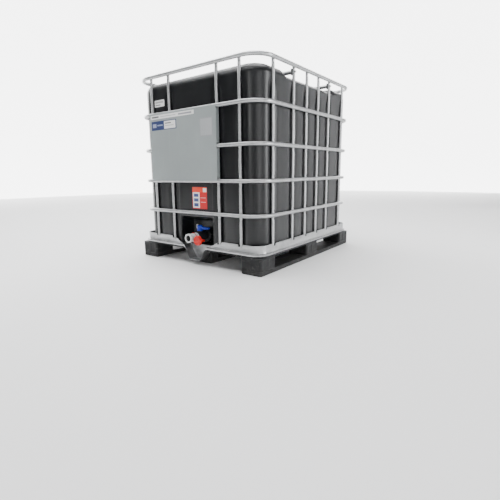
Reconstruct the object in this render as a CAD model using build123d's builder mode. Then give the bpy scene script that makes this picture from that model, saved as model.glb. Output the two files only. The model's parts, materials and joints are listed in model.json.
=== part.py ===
from build123d import *
import os

# Intermediate bulk container: a blow-moulded tank in a welded tube cage, standing in a sheet-steel
# pan on a plastic pallet. Origin at the centre of the pallet's underside, +Z up. The outlet valve
# faces -Y. All sizes are in millimetres.

# ---------------------------------------------------------------- driving dimensions
WIDTH = 1000                    # across the front, along X
LENGTH = 1200                   # front to back, along Y
HEIGHT = 1160                   # pallet underside to the top of the cage

# cage
RING_TUBE = 22                  # outer diameter of the horizontal rings
UPRIGHT_TUBE = 18               # outer diameter of the uprights
TUBE_WALL = 1.0
SADDLE = 8                      # depth pressed into an upright where a ring crosses it
RING_CORNER = 120               # bend radius of the rings
RING_HEIGHTS = (325, 515, 710, 925)
RING_SEAM = 1.0                 # gap between the two butted ends of a ring
SEAM_X = 87
JOINER_LENGTH = 60
FIT = 0.1                       # radial gap of a piece pushed into another
FRONT_UPRIGHTS = (-351, -193, 193, 351)
REAR_UPRIGHTS = (-351, -175, 0, 175, 351)
SIDE_UPRIGHTS = (-450, -234, -77, 77, 234, 450)
UPRIGHT_TOP_DROP = 3            # upright ends this far below the top ring's crown
BAR_TUBE = 22
BAR_SAG = 31                    # cross bar centre below the top ring centre
BAR_SIDE_UPRIGHTS = (-234, 234)
BAR_PLATE = (4, 26, 34)
BOLT_D = 6
BOLT_HEAD = (12, 5)             # across, high

# pallet
RUNNER_WIDTH = 140
RUNNER_HEIGHT = 25
FOOT_LENGTH = 150
FOOT_WALL = 5
FOOT_CORNER = 15
FOOT_HEIGHT = 73
DECK_SKIN = 6
DECK_RIB = 14
RIB_WIDTH = 6
DECK_RIM = 24
RIBS_X = 9
RIBS_Y = 11
RUNNER_SCREW_D = 6
RUNNER_SCREW_HEAD = 13
RUNNER_SCREW_LENGTH = 48
SCREW_PITCH = 90
BOSS_D = 22

# pan
SHEET = 1.2
LIP = 12                        # flange outside the pan's wall
PAN_WALL = 45                   # wall height above the pan's floor
PAN_SKIRT = 11                  # flange turned down over the deck's edge
PAN_CORNER = 75
NOTCH = (30, 14)                # window in the wall at each upright: width, height
TROUGH_TOP = 98                 # half width at the deck
TROUGH_BOTTOM = 40              # half width at the bottom
TROUGH_FLOOR = 30               # height of the trough's floor
TROUGH_DEPTH = 63               # front to back
TROUGH_ROUND = 28
TROUGH_RAMP = 210               # half width where the wall starts to fall to the trough
PAN_SCREW_D = 5
PAN_SCREW_HEAD = (11, 4)
PAN_SCREW_LENGTH = 20
PAN_SCREW_INSET = 33            # corner screws, from both edges
PAN_SCREW_X = 270               # screws along the front and the back

# tank
TANK_GAP = 1.5                  # tank to the uprights at the bottom of a flute
FLUTE_DEPTH = 9
FLUTE_RADIUS = 26
TANK_WALL = 3
TANK_CORNER = 115
TANK_TOP = 1120                 # raised front and rear ends
TANK_DECK = 1096                # top between the raised ends, under the cross bars and the lid
DECK_HALF = (290, 335)          # half length of that lower part at its bottom and its top
TANK_EDGE = 36
TANK_FOOT_EDGE = 23
DECK_ROUND = 12
TANK_SEAT = 0.3
POCKET_WIDTH = 260
POCKET_HEIGHT = 170
POCKET_DEPTH = 105
POCKET_ROUND = 30
FILLER_BORE = 150
FILLER_WALL = 5
FILLER_HEIGHT = 22
LID_D = 186
LID_TOP_T = 8
LID_SKIRT = 5
LID_RIBS = 12
GASKET_T = 3
PLUG_D = 52
PLUG_HEAD = (68, 8)
PLUG_DEPTH = 14

# outlet valve; its bore runs along Y
AXIS_Z = 173
NECK_D = 72
NECK_BORE = 54
NECK_LENGTH = 18
NUT_D = 98
NUT_WALL = 5
NUT_GRIPS = 16
BODY_FLANGE = (80, 8)
BODY_D = 60
VALVE_BORE = 48
SPINDLE_BACK = 545              # spindle axis, in front of the origin
BODY_FRONT = 578
SPOUT_FRONT = 651
SPOUT_D = 56                    # outlet collar
SPOUT_COLLAR = 13
SPOUT_NECK = 52                 # behind the collar
SPOUT_EDGE = 3
SPOUT_MOUTH = 36
SPIGOT_LENGTH = 12
DISC_T = 6
DISC_GAP = 0.5
SEAL_T = 1.2
SPINDLE_D = 10
RUN = 0.05                      # radial clearance of a shaft that turns
BOSS_TOP = 33                   # top of the spindle boss above the valve axis
BOSS_WALL = 6
BOSS_FOOT = 32
LEVER_GAP = 1.0
HUB = (38, 36)                  # diameter, height
LEVER_REACH = 82
LEVER_ROOT = 26
LEVER_TIP = 16
LEVER_THICK = (26, 9)           # root, tip
LATCH = (10, 10, 26)
LATCH_TRAVEL = 5
CAP_D = 60
CAP_LENGTH = 16
CAP_WALL = 3
CAP_FACE = 637
CAP_DROP = 10                   # cap centre below the valve axis
STRAP_T = 2.5
STRAP_W = 10

# name plate and labels
PLATE_SHEET = 1.2
PLATE_LEFT = -357
PLATE_RIGHT = 204
PLATE_RETURN = 23
PLATE_HOOK = (16, 24)
LABEL_T = 0.4
LABEL_CORNER = 3
# lower left and upper right corner of each label as (x, z)
STRIP_LABEL = ((-346, 895), (37, 919))
BLUE_LABEL = ((-340, 828), (-113, 882))
PALE_LABEL = ((80, 765), (178, 868))
BATCH_LABEL = ((-330, 972), (-240, 1012))
WARNING_LABEL = ((-24, 348), (96, 478))

# ---------------------------------------------------------------- derived places
ring_r = RING_TUBE / 2
upright_r = UPRIGHT_TUBE / 2
ring_x = WIDTH / 2 - ring_r
ring_y = LENGTH / 2 - ring_r
inset = ring_r + upright_r - SADDLE
upright_x = ring_x - inset
upright_y = ring_y - inset
top_ring_z = HEIGHT - ring_r
ring_levels = RING_HEIGHTS + (top_ring_z,)
foot_top = RUNNER_HEIGHT + FOOT_HEIGHT
deck_top = foot_top + DECK_RIB + DECK_SKIN
pan_floor = deck_top + SHEET
wall_top = pan_floor + PAN_WALL
wall_x = WIDTH / 2 - LIP
wall_y = LENGTH / 2 - LIP
trough_back = LENGTH / 2 - TROUGH_DEPTH
upright_foot = pan_floor + TANK_SEAT
deck_wide = WIDTH - 2 * (SHEET + FIT)
deck_long = LENGTH - 2 * (SHEET + FIT)
deck_corner = PAN_CORNER - SHEET - FIT
runner_x = WIDTH / 2 - RUNNER_WIDTH / 2
foot_y = LENGTH / 2 - FOOT_LENGTH / 2
front_centre_foot = trough_back - SHEET - 8
tank_x = upright_x - upright_r - TANK_GAP + FLUTE_DEPTH
tank_y = upright_y - upright_r - TANK_GAP + FLUTE_DEPTH
tank_floor = pan_floor + TANK_SEAT
pocket_back = tank_y - POCKET_DEPTH
neck_front = pocket_back + NECK_LENGTH
filler_top = TANK_DECK + FILLER_HEIGHT
lid_under = filler_top + GASKET_T
lid_top = lid_under + LID_TOP_T
lid_foot = TANK_DECK + 2
bar_z = top_ring_z - BAR_SAG
valve_flange_back = neck_front + GASKET_T
boss_top_z = AXIS_Z + BOSS_TOP
hub_bottom = boss_top_z + LEVER_GAP
hub_top = hub_bottom + HUB[1]
cap_x = SPOUT_D / 2 + CAP_D / 2 + 2
cap_z = AXIS_Z - CAP_DROP
plate_bottom = RING_HEIGHTS[1] + 2
plate_top = RING_HEIGHTS[3] + 4


def front(y):
    """Vertical plane y mm in front of the origin: sketch x along +X, sketch y up, normal towards -Y."""
    return Plane(origin=(0, -y, 0), x_dir=(1, 0, 0), z_dir=(0, -1, 0))


def save(name, part):
    """Label a finished piece and write its STEP file."""
    part.label = name
    export_step(part, f"parts/{name}.step")


os.makedirs("parts", exist_ok=True)

# ---------------------------------------------------------------- pallet
foot_places = [
    (side * runner_x, y, RUNNER_WIDTH, FOOT_LENGTH) for side in (-1, 1) for y in (-foot_y, 0, foot_y)
]
foot_places += [(0, y, RUNNER_WIDTH, FOOT_LENGTH) for y in (0, foot_y)]
short_foot = front_centre_foot - (foot_y - FOOT_LENGTH / 2)
foot_places += [(0, -(front_centre_foot - short_foot / 2), RUNNER_WIDTH, short_foot)]
boss_spots = [
    (x + step, y) for x, y, wide, long in foot_places for step in (-SCREW_PITCH / 2, SCREW_PITCH / 2)
]

with BuildPart() as pallet_deck:
    with BuildSketch(Plane.XY.offset(deck_top - DECK_SKIN)):
        RectangleRounded(deck_wide, deck_long, deck_corner)
    extrude(amount=DECK_SKIN)
    with BuildSketch(Plane.XY.offset(foot_top)):
        RectangleRounded(deck_wide, deck_long, deck_corner)
        RectangleRounded(deck_wide - 2 * DECK_RIM, deck_long - 2 * DECK_RIM, deck_corner - DECK_RIM, mode=Mode.SUBTRACT)
        with GridLocations((deck_wide - DECK_RIM) / (RIBS_X + 1), 0, RIBS_X, 1):
            Rectangle(RIB_WIDTH, deck_long - DECK_RIM)
        with GridLocations(0, (deck_long - DECK_RIM) / (RIBS_Y + 1), 1, RIBS_Y):
            Rectangle(deck_wide - DECK_RIM, RIB_WIDTH)
        with Locations(boss_spots):
            Circle(BOSS_D / 2)
    extrude(amount=DECK_RIB)
    with BuildSketch(Plane.XY.offset(foot_top)):
        with Locations((0, -(LENGTH / 2 + trough_back - SHEET - FIT) / 2)):
            Rectangle(2 * (TROUGH_TOP + 2 * SHEET), LENGTH / 2 - trough_back + SHEET + FIT)
    extrude(amount=DECK_RIB + DECK_SKIN, mode=Mode.SUBTRACT)

with BuildPart() as pallet_feet:
    for x, y, wide, long in foot_places:
        with BuildSketch(Plane.XY.offset(RUNNER_HEIGHT)):
            with Locations((x, y)):
                RectangleRounded(wide, long, FOOT_CORNER)
        extrude(amount=FOOT_HEIGHT)
        with BuildSketch(Plane.XY.offset(RUNNER_HEIGHT)):
            with Locations((x, y)):
                RectangleRounded(wide - 2 * FOOT_WALL, long - 2 * FOOT_WALL, FOOT_CORNER - FOOT_WALL)
        extrude(amount=FOOT_HEIGHT - FOOT_WALL, mode=Mode.SUBTRACT)
    with BuildSketch(Plane.XY.offset(RUNNER_HEIGHT)):
        with Locations(boss_spots):
            Circle(BOSS_D / 2)
            Circle(RUNNER_SCREW_D / 2 + RUN, mode=Mode.SUBTRACT)
    extrude(amount=FOOT_HEIGHT - FOOT_WALL)


def make_runner(x, front_end):
    """Board along the pallet's underside, with countersunk screw holes from below."""
    spots = [(px, py) for px, py in boss_spots if abs(px - x) < RUNNER_WIDTH / 2]
    with BuildPart() as runner:
        with BuildSketch():
            with Locations((x, (LENGTH / 2 - front_end) / 2)):
                RectangleRounded(RUNNER_WIDTH, LENGTH / 2 + front_end, FOOT_CORNER)
        extrude(amount=RUNNER_HEIGHT)
        chamfer(runner.faces().sort_by(Axis.Z)[0].edges(), 3)
        with BuildSketch():
            with Locations(spots):
                Circle(RUNNER_SCREW_D / 2 + RUN)
        extrude(amount=RUNNER_HEIGHT, mode=Mode.SUBTRACT)
        with BuildSketch():
            with Locations(spots):
                Circle(RUNNER_SCREW_HEAD / 2 + RUN)
        extrude(amount=5 + RUN, mode=Mode.SUBTRACT)
    return runner.part


runners = {
    "runner_left": make_runner(-runner_x, LENGTH / 2),
    "runner_centre": make_runner(0, front_centre_foot),
    "runner_right": make_runner(runner_x, LENGTH / 2),
}

with BuildPart() as runner_screws:
    with BuildSketch(Plane.XY.offset(2)):
        with Locations(boss_spots):
            Circle(RUNNER_SCREW_HEAD / 2)
    extrude(amount=3)
    with BuildSketch(Plane.XY.offset(5)):
        with Locations(boss_spots):
            Circle(RUNNER_SCREW_D / 2)
    extrude(amount=RUNNER_SCREW_LENGTH)

save("pallet_feet", pallet_feet.part)
for name, board in runners.items():
    save(name, board)
save("runner_screws", runner_screws.part)

# ---------------------------------------------------------------- pan
def trough_section(grow, top):
    """Outline of the channel under the valve, grown outwards by `grow` and reaching up to z = `top`."""
    slope = (TROUGH_TOP - TROUGH_BOTTOM) / (deck_top - TROUGH_FLOOR)
    wide = TROUGH_TOP + slope * (top - deck_top) + grow
    low = TROUGH_FLOOR - grow
    with BuildSketch(mode=Mode.PRIVATE) as outline:
        with BuildLine():
            Polyline(
                (-wide, top), (-TROUGH_BOTTOM - grow, low), (TROUGH_BOTTOM + grow, low), (wide, top), close=True
            )
        make_face()
        fillet(outline.vertices().group_by(Axis.Y)[0], TROUGH_ROUND + grow)
    return outline.sketch


corner_screw = (WIDTH / 2 - PAN_SCREW_INSET, LENGTH / 2 - PAN_SCREW_INSET)
pan_screws_at = [(sx * corner_screw[0], sy * corner_screw[1]) for sx in (-1, 1) for sy in (-1, 1)]
pan_screws_at += [(sx * PAN_SCREW_X, sy * (LENGTH - LIP) / 2) for sx in (-1, 1) for sy in (-1, 1)]
pan_screws_at += [(sx * (WIDTH - LIP) / 2, 0) for sx in (-1, 1)]
wall_corner = PAN_CORNER + 30

with BuildPart() as pan:
    with BuildSketch(Plane.XY.offset(deck_top)):
        RectangleRounded(WIDTH, LENGTH, PAN_CORNER)
    extrude(amount=SHEET)
    with BuildSketch(Plane.XY.offset(deck_top)):
        RectangleRounded(WIDTH, LENGTH, PAN_CORNER)
        RectangleRounded(WIDTH - 2 * SHEET, LENGTH - 2 * SHEET, PAN_CORNER - SHEET, mode=Mode.SUBTRACT)
    extrude(amount=-PAN_SKIRT)
    with BuildSketch(Plane.XY.offset(pan_floor)):
        RectangleRounded(2 * wall_x, 2 * wall_y, wall_corner)
        RectangleRounded(2 * (wall_x - SHEET), 2 * (wall_y - SHEET), wall_corner - SHEET, mode=Mode.SUBTRACT)
    extrude(amount=PAN_WALL)
    # the front wall falls towards the trough on both sides
    with BuildSketch(front(LENGTH / 2)):
        with BuildLine():
            Polyline(
                (-TROUGH_RAMP, wall_top), (-TROUGH_TOP, pan_floor), (TROUGH_TOP, pan_floor),
                (TROUGH_RAMP, wall_top), close=True,
            )
        make_face()
    extrude(amount=-LIP - 2 * SHEET, mode=Mode.SUBTRACT)
    # windows that show the foot of each upright
    with BuildSketch(front(0)):
        with Locations([(x, wall_top) for x in FRONT_UPRIGHTS]):
            Rectangle(NOTCH[0], 2 * NOTCH[1])
    extrude(amount=LENGTH / 2, mode=Mode.SUBTRACT)
    with BuildSketch(front(0)):
        with Locations([(x, wall_top) for x in REAR_UPRIGHTS]):
            Rectangle(NOTCH[0], 2 * NOTCH[1])
    extrude(amount=-LENGTH / 2, mode=Mode.SUBTRACT)
    with BuildSketch(Plane.YZ):
        with Locations([(y, wall_top) for y in SIDE_UPRIGHTS]):
            Rectangle(NOTCH[0], 2 * NOTCH[1])
    extrude(amount=WIDTH / 2, both=True, mode=Mode.SUBTRACT)
    # trough: floor, two slopes and a back wall
    with BuildSketch(front(trough_back - SHEET)):
        add(trough_section(SHEET, pan_floor))
    extrude(amount=TROUGH_DEPTH + SHEET)
    with BuildSketch(front(trough_back)):
        add(trough_section(0, pan_floor + SHEET))
    extrude(amount=TROUGH_DEPTH + SHEET, mode=Mode.SUBTRACT)
    with BuildSketch(Plane.XY.offset(deck_top)):
        with Locations(pan_screws_at):
            Circle(PAN_SCREW_D / 2 + RUN)
    extrude(amount=SHEET, mode=Mode.SUBTRACT)

with BuildPart() as pan_screws:
    with BuildSketch(Plane.XY.offset(pan_floor)):
        with Locations(pan_screws_at):
            Circle(PAN_SCREW_HEAD[0] / 2)
    extrude(amount=PAN_SCREW_HEAD[1])
    with BuildSketch(Plane.XY.offset(pan_floor)):
        with Locations(pan_screws_at):
            Circle(PAN_SCREW_D / 2)
    extrude(amount=-PAN_SCREW_LENGTH)

with BuildPart() as drilled_deck:
    add(pallet_deck.part)
    with BuildSketch(Plane.XY.offset(deck_top)):
        with Locations(pan_screws_at):
            Circle(PAN_SCREW_D / 2 + RUN)
    extrude(amount=-PAN_SCREW_LENGTH, mode=Mode.SUBTRACT)

save("pallet_deck", drilled_deck.part)
save("pan", pan.part)
save("pan_screws", pan_screws.part)

# ---------------------------------------------------------------- cage
def make_ring(z):
    """Round tube bent round the four corners; its two ends meet at the back."""
    with BuildPart() as ring:
        with BuildLine(Plane.XY.offset(z)) as bend:
            FilletPolyline(
                (SEAM_X + RING_SEAM / 2, ring_y), (ring_x, ring_y), (ring_x, -ring_y), (-ring_x, -ring_y),
                (-ring_x, ring_y), (SEAM_X - RING_SEAM / 2, ring_y), radius=RING_CORNER,
            )
        with BuildSketch(Plane(origin=bend.line @ 0, z_dir=bend.line % 0)):
            Circle(ring_r)
            Circle(ring_r - TUBE_WALL, mode=Mode.SUBTRACT)
        sweep()
    return ring.part


def make_joiner(z):
    """Short tube pushed into both ends of a ring."""
    with BuildPart() as joiner:
        with BuildSketch(Plane(origin=(SEAM_X - JOINER_LENGTH / 2, ring_y, z), z_dir=(1, 0, 0))):
            Circle(ring_r - TUBE_WALL - FIT)
            Circle(ring_r - 2 * TUBE_WALL - FIT, mode=Mode.SUBTRACT)
        extrude(amount=JOINER_LENGTH)
    return joiner.part


def make_uprights(places, axis):
    """Tubes standing at `places`, hollowed where the rings press in; `axis` is the rings' direction."""
    along = (1, 0, 0) if axis == Axis.X else (0, 1, 0)
    reach = UPRIGHT_TUBE
    with BuildPart() as uprights:
        with BuildSketch(Plane.XY.offset(upright_foot)):
            with Locations(places):
                Circle(upright_r)
                Circle(upright_r - TUBE_WALL, mode=Mode.SUBTRACT)
        extrude(amount=HEIGHT - UPRIGHT_TOP_DROP - upright_foot)
        for x, y in places:
            side = cage_side(x, y, axis)
            for z in ring_levels:
                start = (x - reach, side * ring_y, z) if axis == Axis.X else (side * ring_x, y - reach, z)
                with BuildSketch(Plane(origin=start, z_dir=along)):
                    Circle(ring_r)
                extrude(amount=2 * reach, mode=Mode.SUBTRACT)
    return uprights.part


def cage_side(x, y, axis):
    """Which side of the cage the upright at x, y stands on: -1 or 1."""
    across = y if axis == Axis.X else x
    return 1 if across > 0 else -1


rings = {f"ring_{i + 1}": make_ring(z) for i, z in enumerate(RING_HEIGHTS)}
rings["ring_top"] = make_ring(top_ring_z)
joiners = Compound(children=[make_joiner(z) for z in ring_levels])

front_uprights = make_uprights([(x, -upright_y) for x in FRONT_UPRIGHTS], Axis.X)
rear_uprights = make_uprights([(x, upright_y) for x in REAR_UPRIGHTS], Axis.X)
right_uprights = make_uprights([(upright_x, y) for y in SIDE_UPRIGHTS], Axis.Y)
left_uprights = make_uprights([(-upright_x, y) for y in SIDE_UPRIGHTS], Axis.Y)

for name, tube in rings.items():
    save(name, tube)
save("ring_joiners", joiners)

# cross bars over the tank, bolted through the uprights
bar_half = upright_x - upright_r - BAR_PLATE[0]
bolt_from = upright_x + upright_r
bolt_to = bar_half - 3 * BAR_PLATE[0]


def make_cross_bar(y):
    """Tube with a welded plate at each end, drilled for the bolt that holds it to its upright."""
    with BuildPart() as bar:
        with BuildSketch(Plane(origin=(-bar_half, y, bar_z), z_dir=(1, 0, 0))):
            Circle(BAR_TUBE / 2)
            Circle(BAR_TUBE / 2 - TUBE_WALL, mode=Mode.SUBTRACT)
        extrude(amount=2 * bar_half)
        for side in (-1, 1):
            with BuildSketch(Plane(origin=(side * bar_half, y, bar_z), x_dir=(0, 1, 0), z_dir=(side, 0, 0))):
                Rectangle(BAR_PLATE[1], BAR_PLATE[2])
                Circle(BOLT_D / 2 + RUN, mode=Mode.SUBTRACT)
            extrude(amount=BAR_PLATE[0])
    return bar.part


def make_bar_bolt(side, y):
    """Hexagon bolt through the upright and the plate, with its nut inside the tube's end."""
    with BuildPart() as bolt:
        with BuildSketch(Plane(origin=(side * bolt_from, y, bar_z), x_dir=(0, 1, 0), z_dir=(side, 0, 0))):
            RegularPolygon(BOLT_HEAD[0] / 2, 6)
        extrude(amount=BOLT_HEAD[1])
        with BuildSketch(Plane(origin=(side * bolt_to, y, bar_z), x_dir=(0, 1, 0), z_dir=(side, 0, 0))):
            Circle(BOLT_D / 2)
        extrude(amount=bolt_from - bolt_to)
        with BuildSketch(Plane(origin=(side * bar_half, y, bar_z), x_dir=(0, 1, 0), z_dir=(-side, 0, 0))):
            RegularPolygon(BOLT_HEAD[0] / 2, 6)
        extrude(amount=BOLT_HEAD[1])
    return bolt.part


def drill_for_bars(uprights, side):
    """Cross holes for the bar bolts in the side uprights that carry a bar."""
    with BuildPart() as drilled:
        add(uprights)
        for y in BAR_SIDE_UPRIGHTS:
            with BuildSketch(Plane(origin=(side * bar_half, y, bar_z), x_dir=(0, 1, 0), z_dir=(side, 0, 0))):
                Circle(BOLT_D / 2 + RUN)
            extrude(amount=UPRIGHT_TUBE + 2 * BAR_PLATE[0], mode=Mode.SUBTRACT)
    return drilled.part


save("front_uprights", front_uprights)
save("rear_uprights", rear_uprights)
save("left_uprights", drill_for_bars(left_uprights, -1))
save("right_uprights", drill_for_bars(right_uprights, 1))
save("cross_bar_front", make_cross_bar(BAR_SIDE_UPRIGHTS[0]))
save("cross_bar_rear", make_cross_bar(BAR_SIDE_UPRIGHTS[1]))
save("cross_bar_bolts", Compound(children=[make_bar_bolt(s, y) for s in (-1, 1) for y in BAR_SIDE_UPRIGHTS]))

# ---------------------------------------------------------------- tank
def tank_block(shrink):
    """Body of the tank, its skin moved inwards by `shrink`, with its flutes and the valve pocket."""
    low = tank_floor + shrink
    with BuildPart() as block:
        with BuildSketch(Plane.XY.offset(low)):
            RectangleRounded(2 * (tank_x - shrink), 2 * (tank_y - shrink), TANK_CORNER - shrink)
        extrude(amount=TANK_TOP - shrink - low)
        fillet(block.faces().sort_by(Axis.Z)[-1].edges(), TANK_EDGE - shrink)
        fillet(block.faces().sort_by(Axis.Z)[0].edges(), TANK_FOOT_EDGE)
        with BuildSketch(Plane.YZ):
            with BuildLine():
                Polyline(
                    (-DECK_HALF[1] - shrink, TANK_TOP), (-DECK_HALF[0] - shrink, TANK_DECK - shrink),
                    (DECK_HALF[0] + shrink, TANK_DECK - shrink), (DECK_HALF[1] + shrink, TANK_TOP), close=True,
                )
            recess = make_face()
            fillet(recess.vertices().group_by(Axis.Y)[0], DECK_ROUND)
        extrude(amount=WIDTH, both=True, mode=Mode.SUBTRACT)
        flute_out = FLUTE_RADIUS - FLUTE_DEPTH
        places = [(sx * (tank_x + flute_out), y) for sx in (-1, 1) for y in SIDE_UPRIGHTS]
        places += [(x, -(tank_y + flute_out)) for x in FRONT_UPRIGHTS]
        places += [(x, tank_y + flute_out) for x in REAR_UPRIGHTS]
        with BuildSketch(Plane.XY):
            with Locations(places):
                Circle(FLUTE_RADIUS + shrink)
        extrude(amount=HEIGHT, mode=Mode.SUBTRACT)
        with BuildSketch(front(pocket_back - shrink)):
            with BuildLine():
                Polyline(
                    (-POCKET_WIDTH / 2 - shrink, 0),
                    (-POCKET_WIDTH / 2 - shrink, tank_floor + POCKET_HEIGHT + shrink),
                    (POCKET_WIDTH / 2 + shrink, tank_floor + POCKET_HEIGHT + shrink),
                    (POCKET_WIDTH / 2 + shrink, 0), close=True,
                )
            pocket_face = make_face()
            fillet(pocket_face.vertices().group_by(Axis.Y)[-1], POCKET_ROUND + shrink)
        extrude(amount=LENGTH, mode=Mode.SUBTRACT)
    return block.part


outer_block = tank_block(0)
inner_block = tank_block(TANK_WALL)

with BuildPart() as tank:
    add(outer_block)
    with BuildSketch(Plane.XY.offset(TANK_DECK)):
        Circle(FILLER_BORE / 2 + FILLER_WALL)
    extrude(amount=FILLER_HEIGHT)
    with BuildSketch(front(pocket_back)):
        with Locations((0, AXIS_Z)):
            Circle(NECK_D / 2)
    extrude(amount=NECK_LENGTH)
    add(inner_block, mode=Mode.SUBTRACT)
    with BuildSketch(Plane.XY.offset(TANK_DECK - 2 * TANK_WALL)):
        Circle(FILLER_BORE / 2)
    extrude(amount=FILLER_HEIGHT + 2 * TANK_WALL, mode=Mode.SUBTRACT)
    with BuildSketch(front(pocket_back - 2 * TANK_WALL)):
        with Locations((0, AXIS_Z)):
            Circle(NECK_BORE / 2)
    extrude(amount=NECK_LENGTH + 2 * TANK_WALL, mode=Mode.SUBTRACT)

lid_bore = FILLER_BORE / 2 + FILLER_WALL + FIT + 0.3
with BuildPart() as filler_lid:
    with BuildSketch(Plane.XY.offset(lid_foot)):
        Circle(LID_D / 2)
    extrude(amount=lid_top - lid_foot)
    fillet(filler_lid.faces().sort_by(Axis.Z)[-1].edges(), 3)
    with BuildSketch(Plane.XY.offset(lid_foot)):
        Circle(lid_bore)
    extrude(amount=lid_under - lid_foot, mode=Mode.SUBTRACT)
    with BuildSketch(Plane.XY.offset(lid_top - 2)):
        with PolarLocations(LID_D / 2 - 26, LID_RIBS):
            Rectangle(22, 6)
    extrude(amount=4)
    with BuildSketch(Plane.XY.offset(lid_under - PLUG_DEPTH)):
        Circle(PLUG_D / 2 + 5)
    extrude(amount=PLUG_DEPTH)
    with BuildSketch(Plane.XY.offset(lid_under - PLUG_DEPTH)):
        Circle(PLUG_D / 2 + RUN)
    extrude(amount=PLUG_DEPTH + LID_TOP_T + 4, mode=Mode.SUBTRACT)

with BuildPart() as lid_gasket:
    with BuildSketch(Plane.XY.offset(filler_top)):
        Circle(FILLER_BORE / 2 + FILLER_WALL)
        Circle(FILLER_BORE / 2 + 1, mode=Mode.SUBTRACT)
    extrude(amount=GASKET_T)

with BuildPart() as vent_gasket:
    with BuildSketch(Plane.XY.offset(lid_top)):
        Circle(PLUG_HEAD[0] / 2 - 1)
        Circle(PLUG_D / 2 + 1, mode=Mode.SUBTRACT)
    extrude(amount=GASKET_T)

with BuildPart() as vent_plug:
    with BuildSketch(Plane.XY.offset(lid_under - PLUG_DEPTH + 2)):
        Circle(PLUG_D / 2)
    extrude(amount=lid_top + GASKET_T - lid_under + PLUG_DEPTH - 2)
    with BuildSketch(Plane.XY.offset(lid_top + GASKET_T)):
        Circle(PLUG_HEAD[0] / 2)
    extrude(amount=PLUG_HEAD[1])
    with BuildSketch(Plane.XY.offset(lid_top + GASKET_T + 3)):
        Circle(PLUG_HEAD[0] / 2 - 6)
        Rectangle(PLUG_HEAD[0], 8, mode=Mode.SUBTRACT)
    extrude(amount=PLUG_HEAD[1], mode=Mode.SUBTRACT)

save("tank", tank.part)
save("filler_lid", filler_lid.part)
save("lid_gasket", lid_gasket.part)
save("vent_gasket", vent_gasket.part)
save("vent_plug", vent_plug.part)

# ---------------------------------------------------------------- outlet valve
nut_back = pocket_back + 2
body_flange_front = valve_flange_back + BODY_FLANGE[1]
seal_r = VALVE_BORE / 2 - DISC_GAP
stud_z = AXIS_Z - BODY_D / 2 - BOSS_WALL

with BuildPart() as outlet_gasket:
    with BuildSketch(front(neck_front)):
        with Locations((0, AXIS_Z)):
            Circle(NECK_D / 2 - 2)
            Circle(NECK_BORE / 2 + 1, mode=Mode.SUBTRACT)
    extrude(amount=GASKET_T)

with BuildPart() as flange_nut:
    with BuildSketch(front(nut_back)):
        with Locations((0, AXIS_Z)):
            Circle(NUT_D / 2)
            with PolarLocations(NUT_D / 2, NUT_GRIPS):
                Circle(4, mode=Mode.SUBTRACT)
    extrude(amount=body_flange_front + FIT + NUT_WALL - nut_back)
    with BuildSketch(front(nut_back)):
        with Locations((0, AXIS_Z)):
            Circle(BODY_FLANGE[0] / 2 + FIT)
    extrude(amount=body_flange_front + FIT - nut_back, mode=Mode.SUBTRACT)
    with BuildSketch(front(nut_back)):
        with Locations((0, AXIS_Z)):
            Circle(BODY_FLANGE[0] / 2 + FIT)
            Circle(NECK_D / 2 + FIT, mode=Mode.SUBTRACT)
    extrude(amount=neck_front - nut_back - FIT)
    with BuildSketch(front(body_flange_front)):
        with Locations((0, AXIS_Z)):
            Circle(BODY_D / 2 + FIT)
    extrude(amount=2 * NUT_WALL, mode=Mode.SUBTRACT)

with BuildPart() as valve_body:
    with BuildSketch(front(valve_flange_back)):
        with Locations((0, AXIS_Z)):
            Circle(BODY_FLANGE[0] / 2)
    extrude(amount=BODY_FLANGE[1])
    with BuildSketch(front(body_flange_front)):
        with Locations((0, AXIS_Z)):
            Circle(BODY_D / 2)
    extrude(amount=BODY_FRONT - body_flange_front)
    with BuildSketch(Plane.XY.offset(stud_z)):
        with Locations((0, -SPINDLE_BACK)):
            Circle(SPINDLE_D / 2 + BOSS_WALL)
    extrude(amount=boss_top_z - stud_z)
    with BuildSketch(Plane.XY.offset(boss_top_z - 6)):
        with Locations((0, -SPINDLE_BACK)):
            Circle(BOSS_FOOT / 2)
    extrude(amount=6)
    with BuildSketch(front(valve_flange_back)):
        with Locations((0, AXIS_Z)):
            Circle(VALVE_BORE / 2)
    extrude(amount=BODY_FRONT - valve_flange_back, mode=Mode.SUBTRACT)
    with BuildSketch(Plane.XY.offset(stud_z + 3)):
        with Locations((0, -SPINDLE_BACK)):
            Circle(SPINDLE_D / 2 + RUN)
    extrude(amount=boss_top_z - stud_z - 3, mode=Mode.SUBTRACT)
    with BuildSketch(Plane.XY.offset(boss_top_z - 3)):
        with Locations((0, -SPINDLE_BACK)):
            Circle(SPINDLE_D / 2 + 3)
    extrude(amount=3, mode=Mode.SUBTRACT)

with BuildPart() as spindle_seal:
    with BuildSketch(Plane.XY.offset(boss_top_z - 3)):
        with Locations((0, -SPINDLE_BACK)):
            Circle(SPINDLE_D / 2 + 3)
            Circle(SPINDLE_D / 2 + RUN, mode=Mode.SUBTRACT)
    extrude(amount=3)

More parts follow.
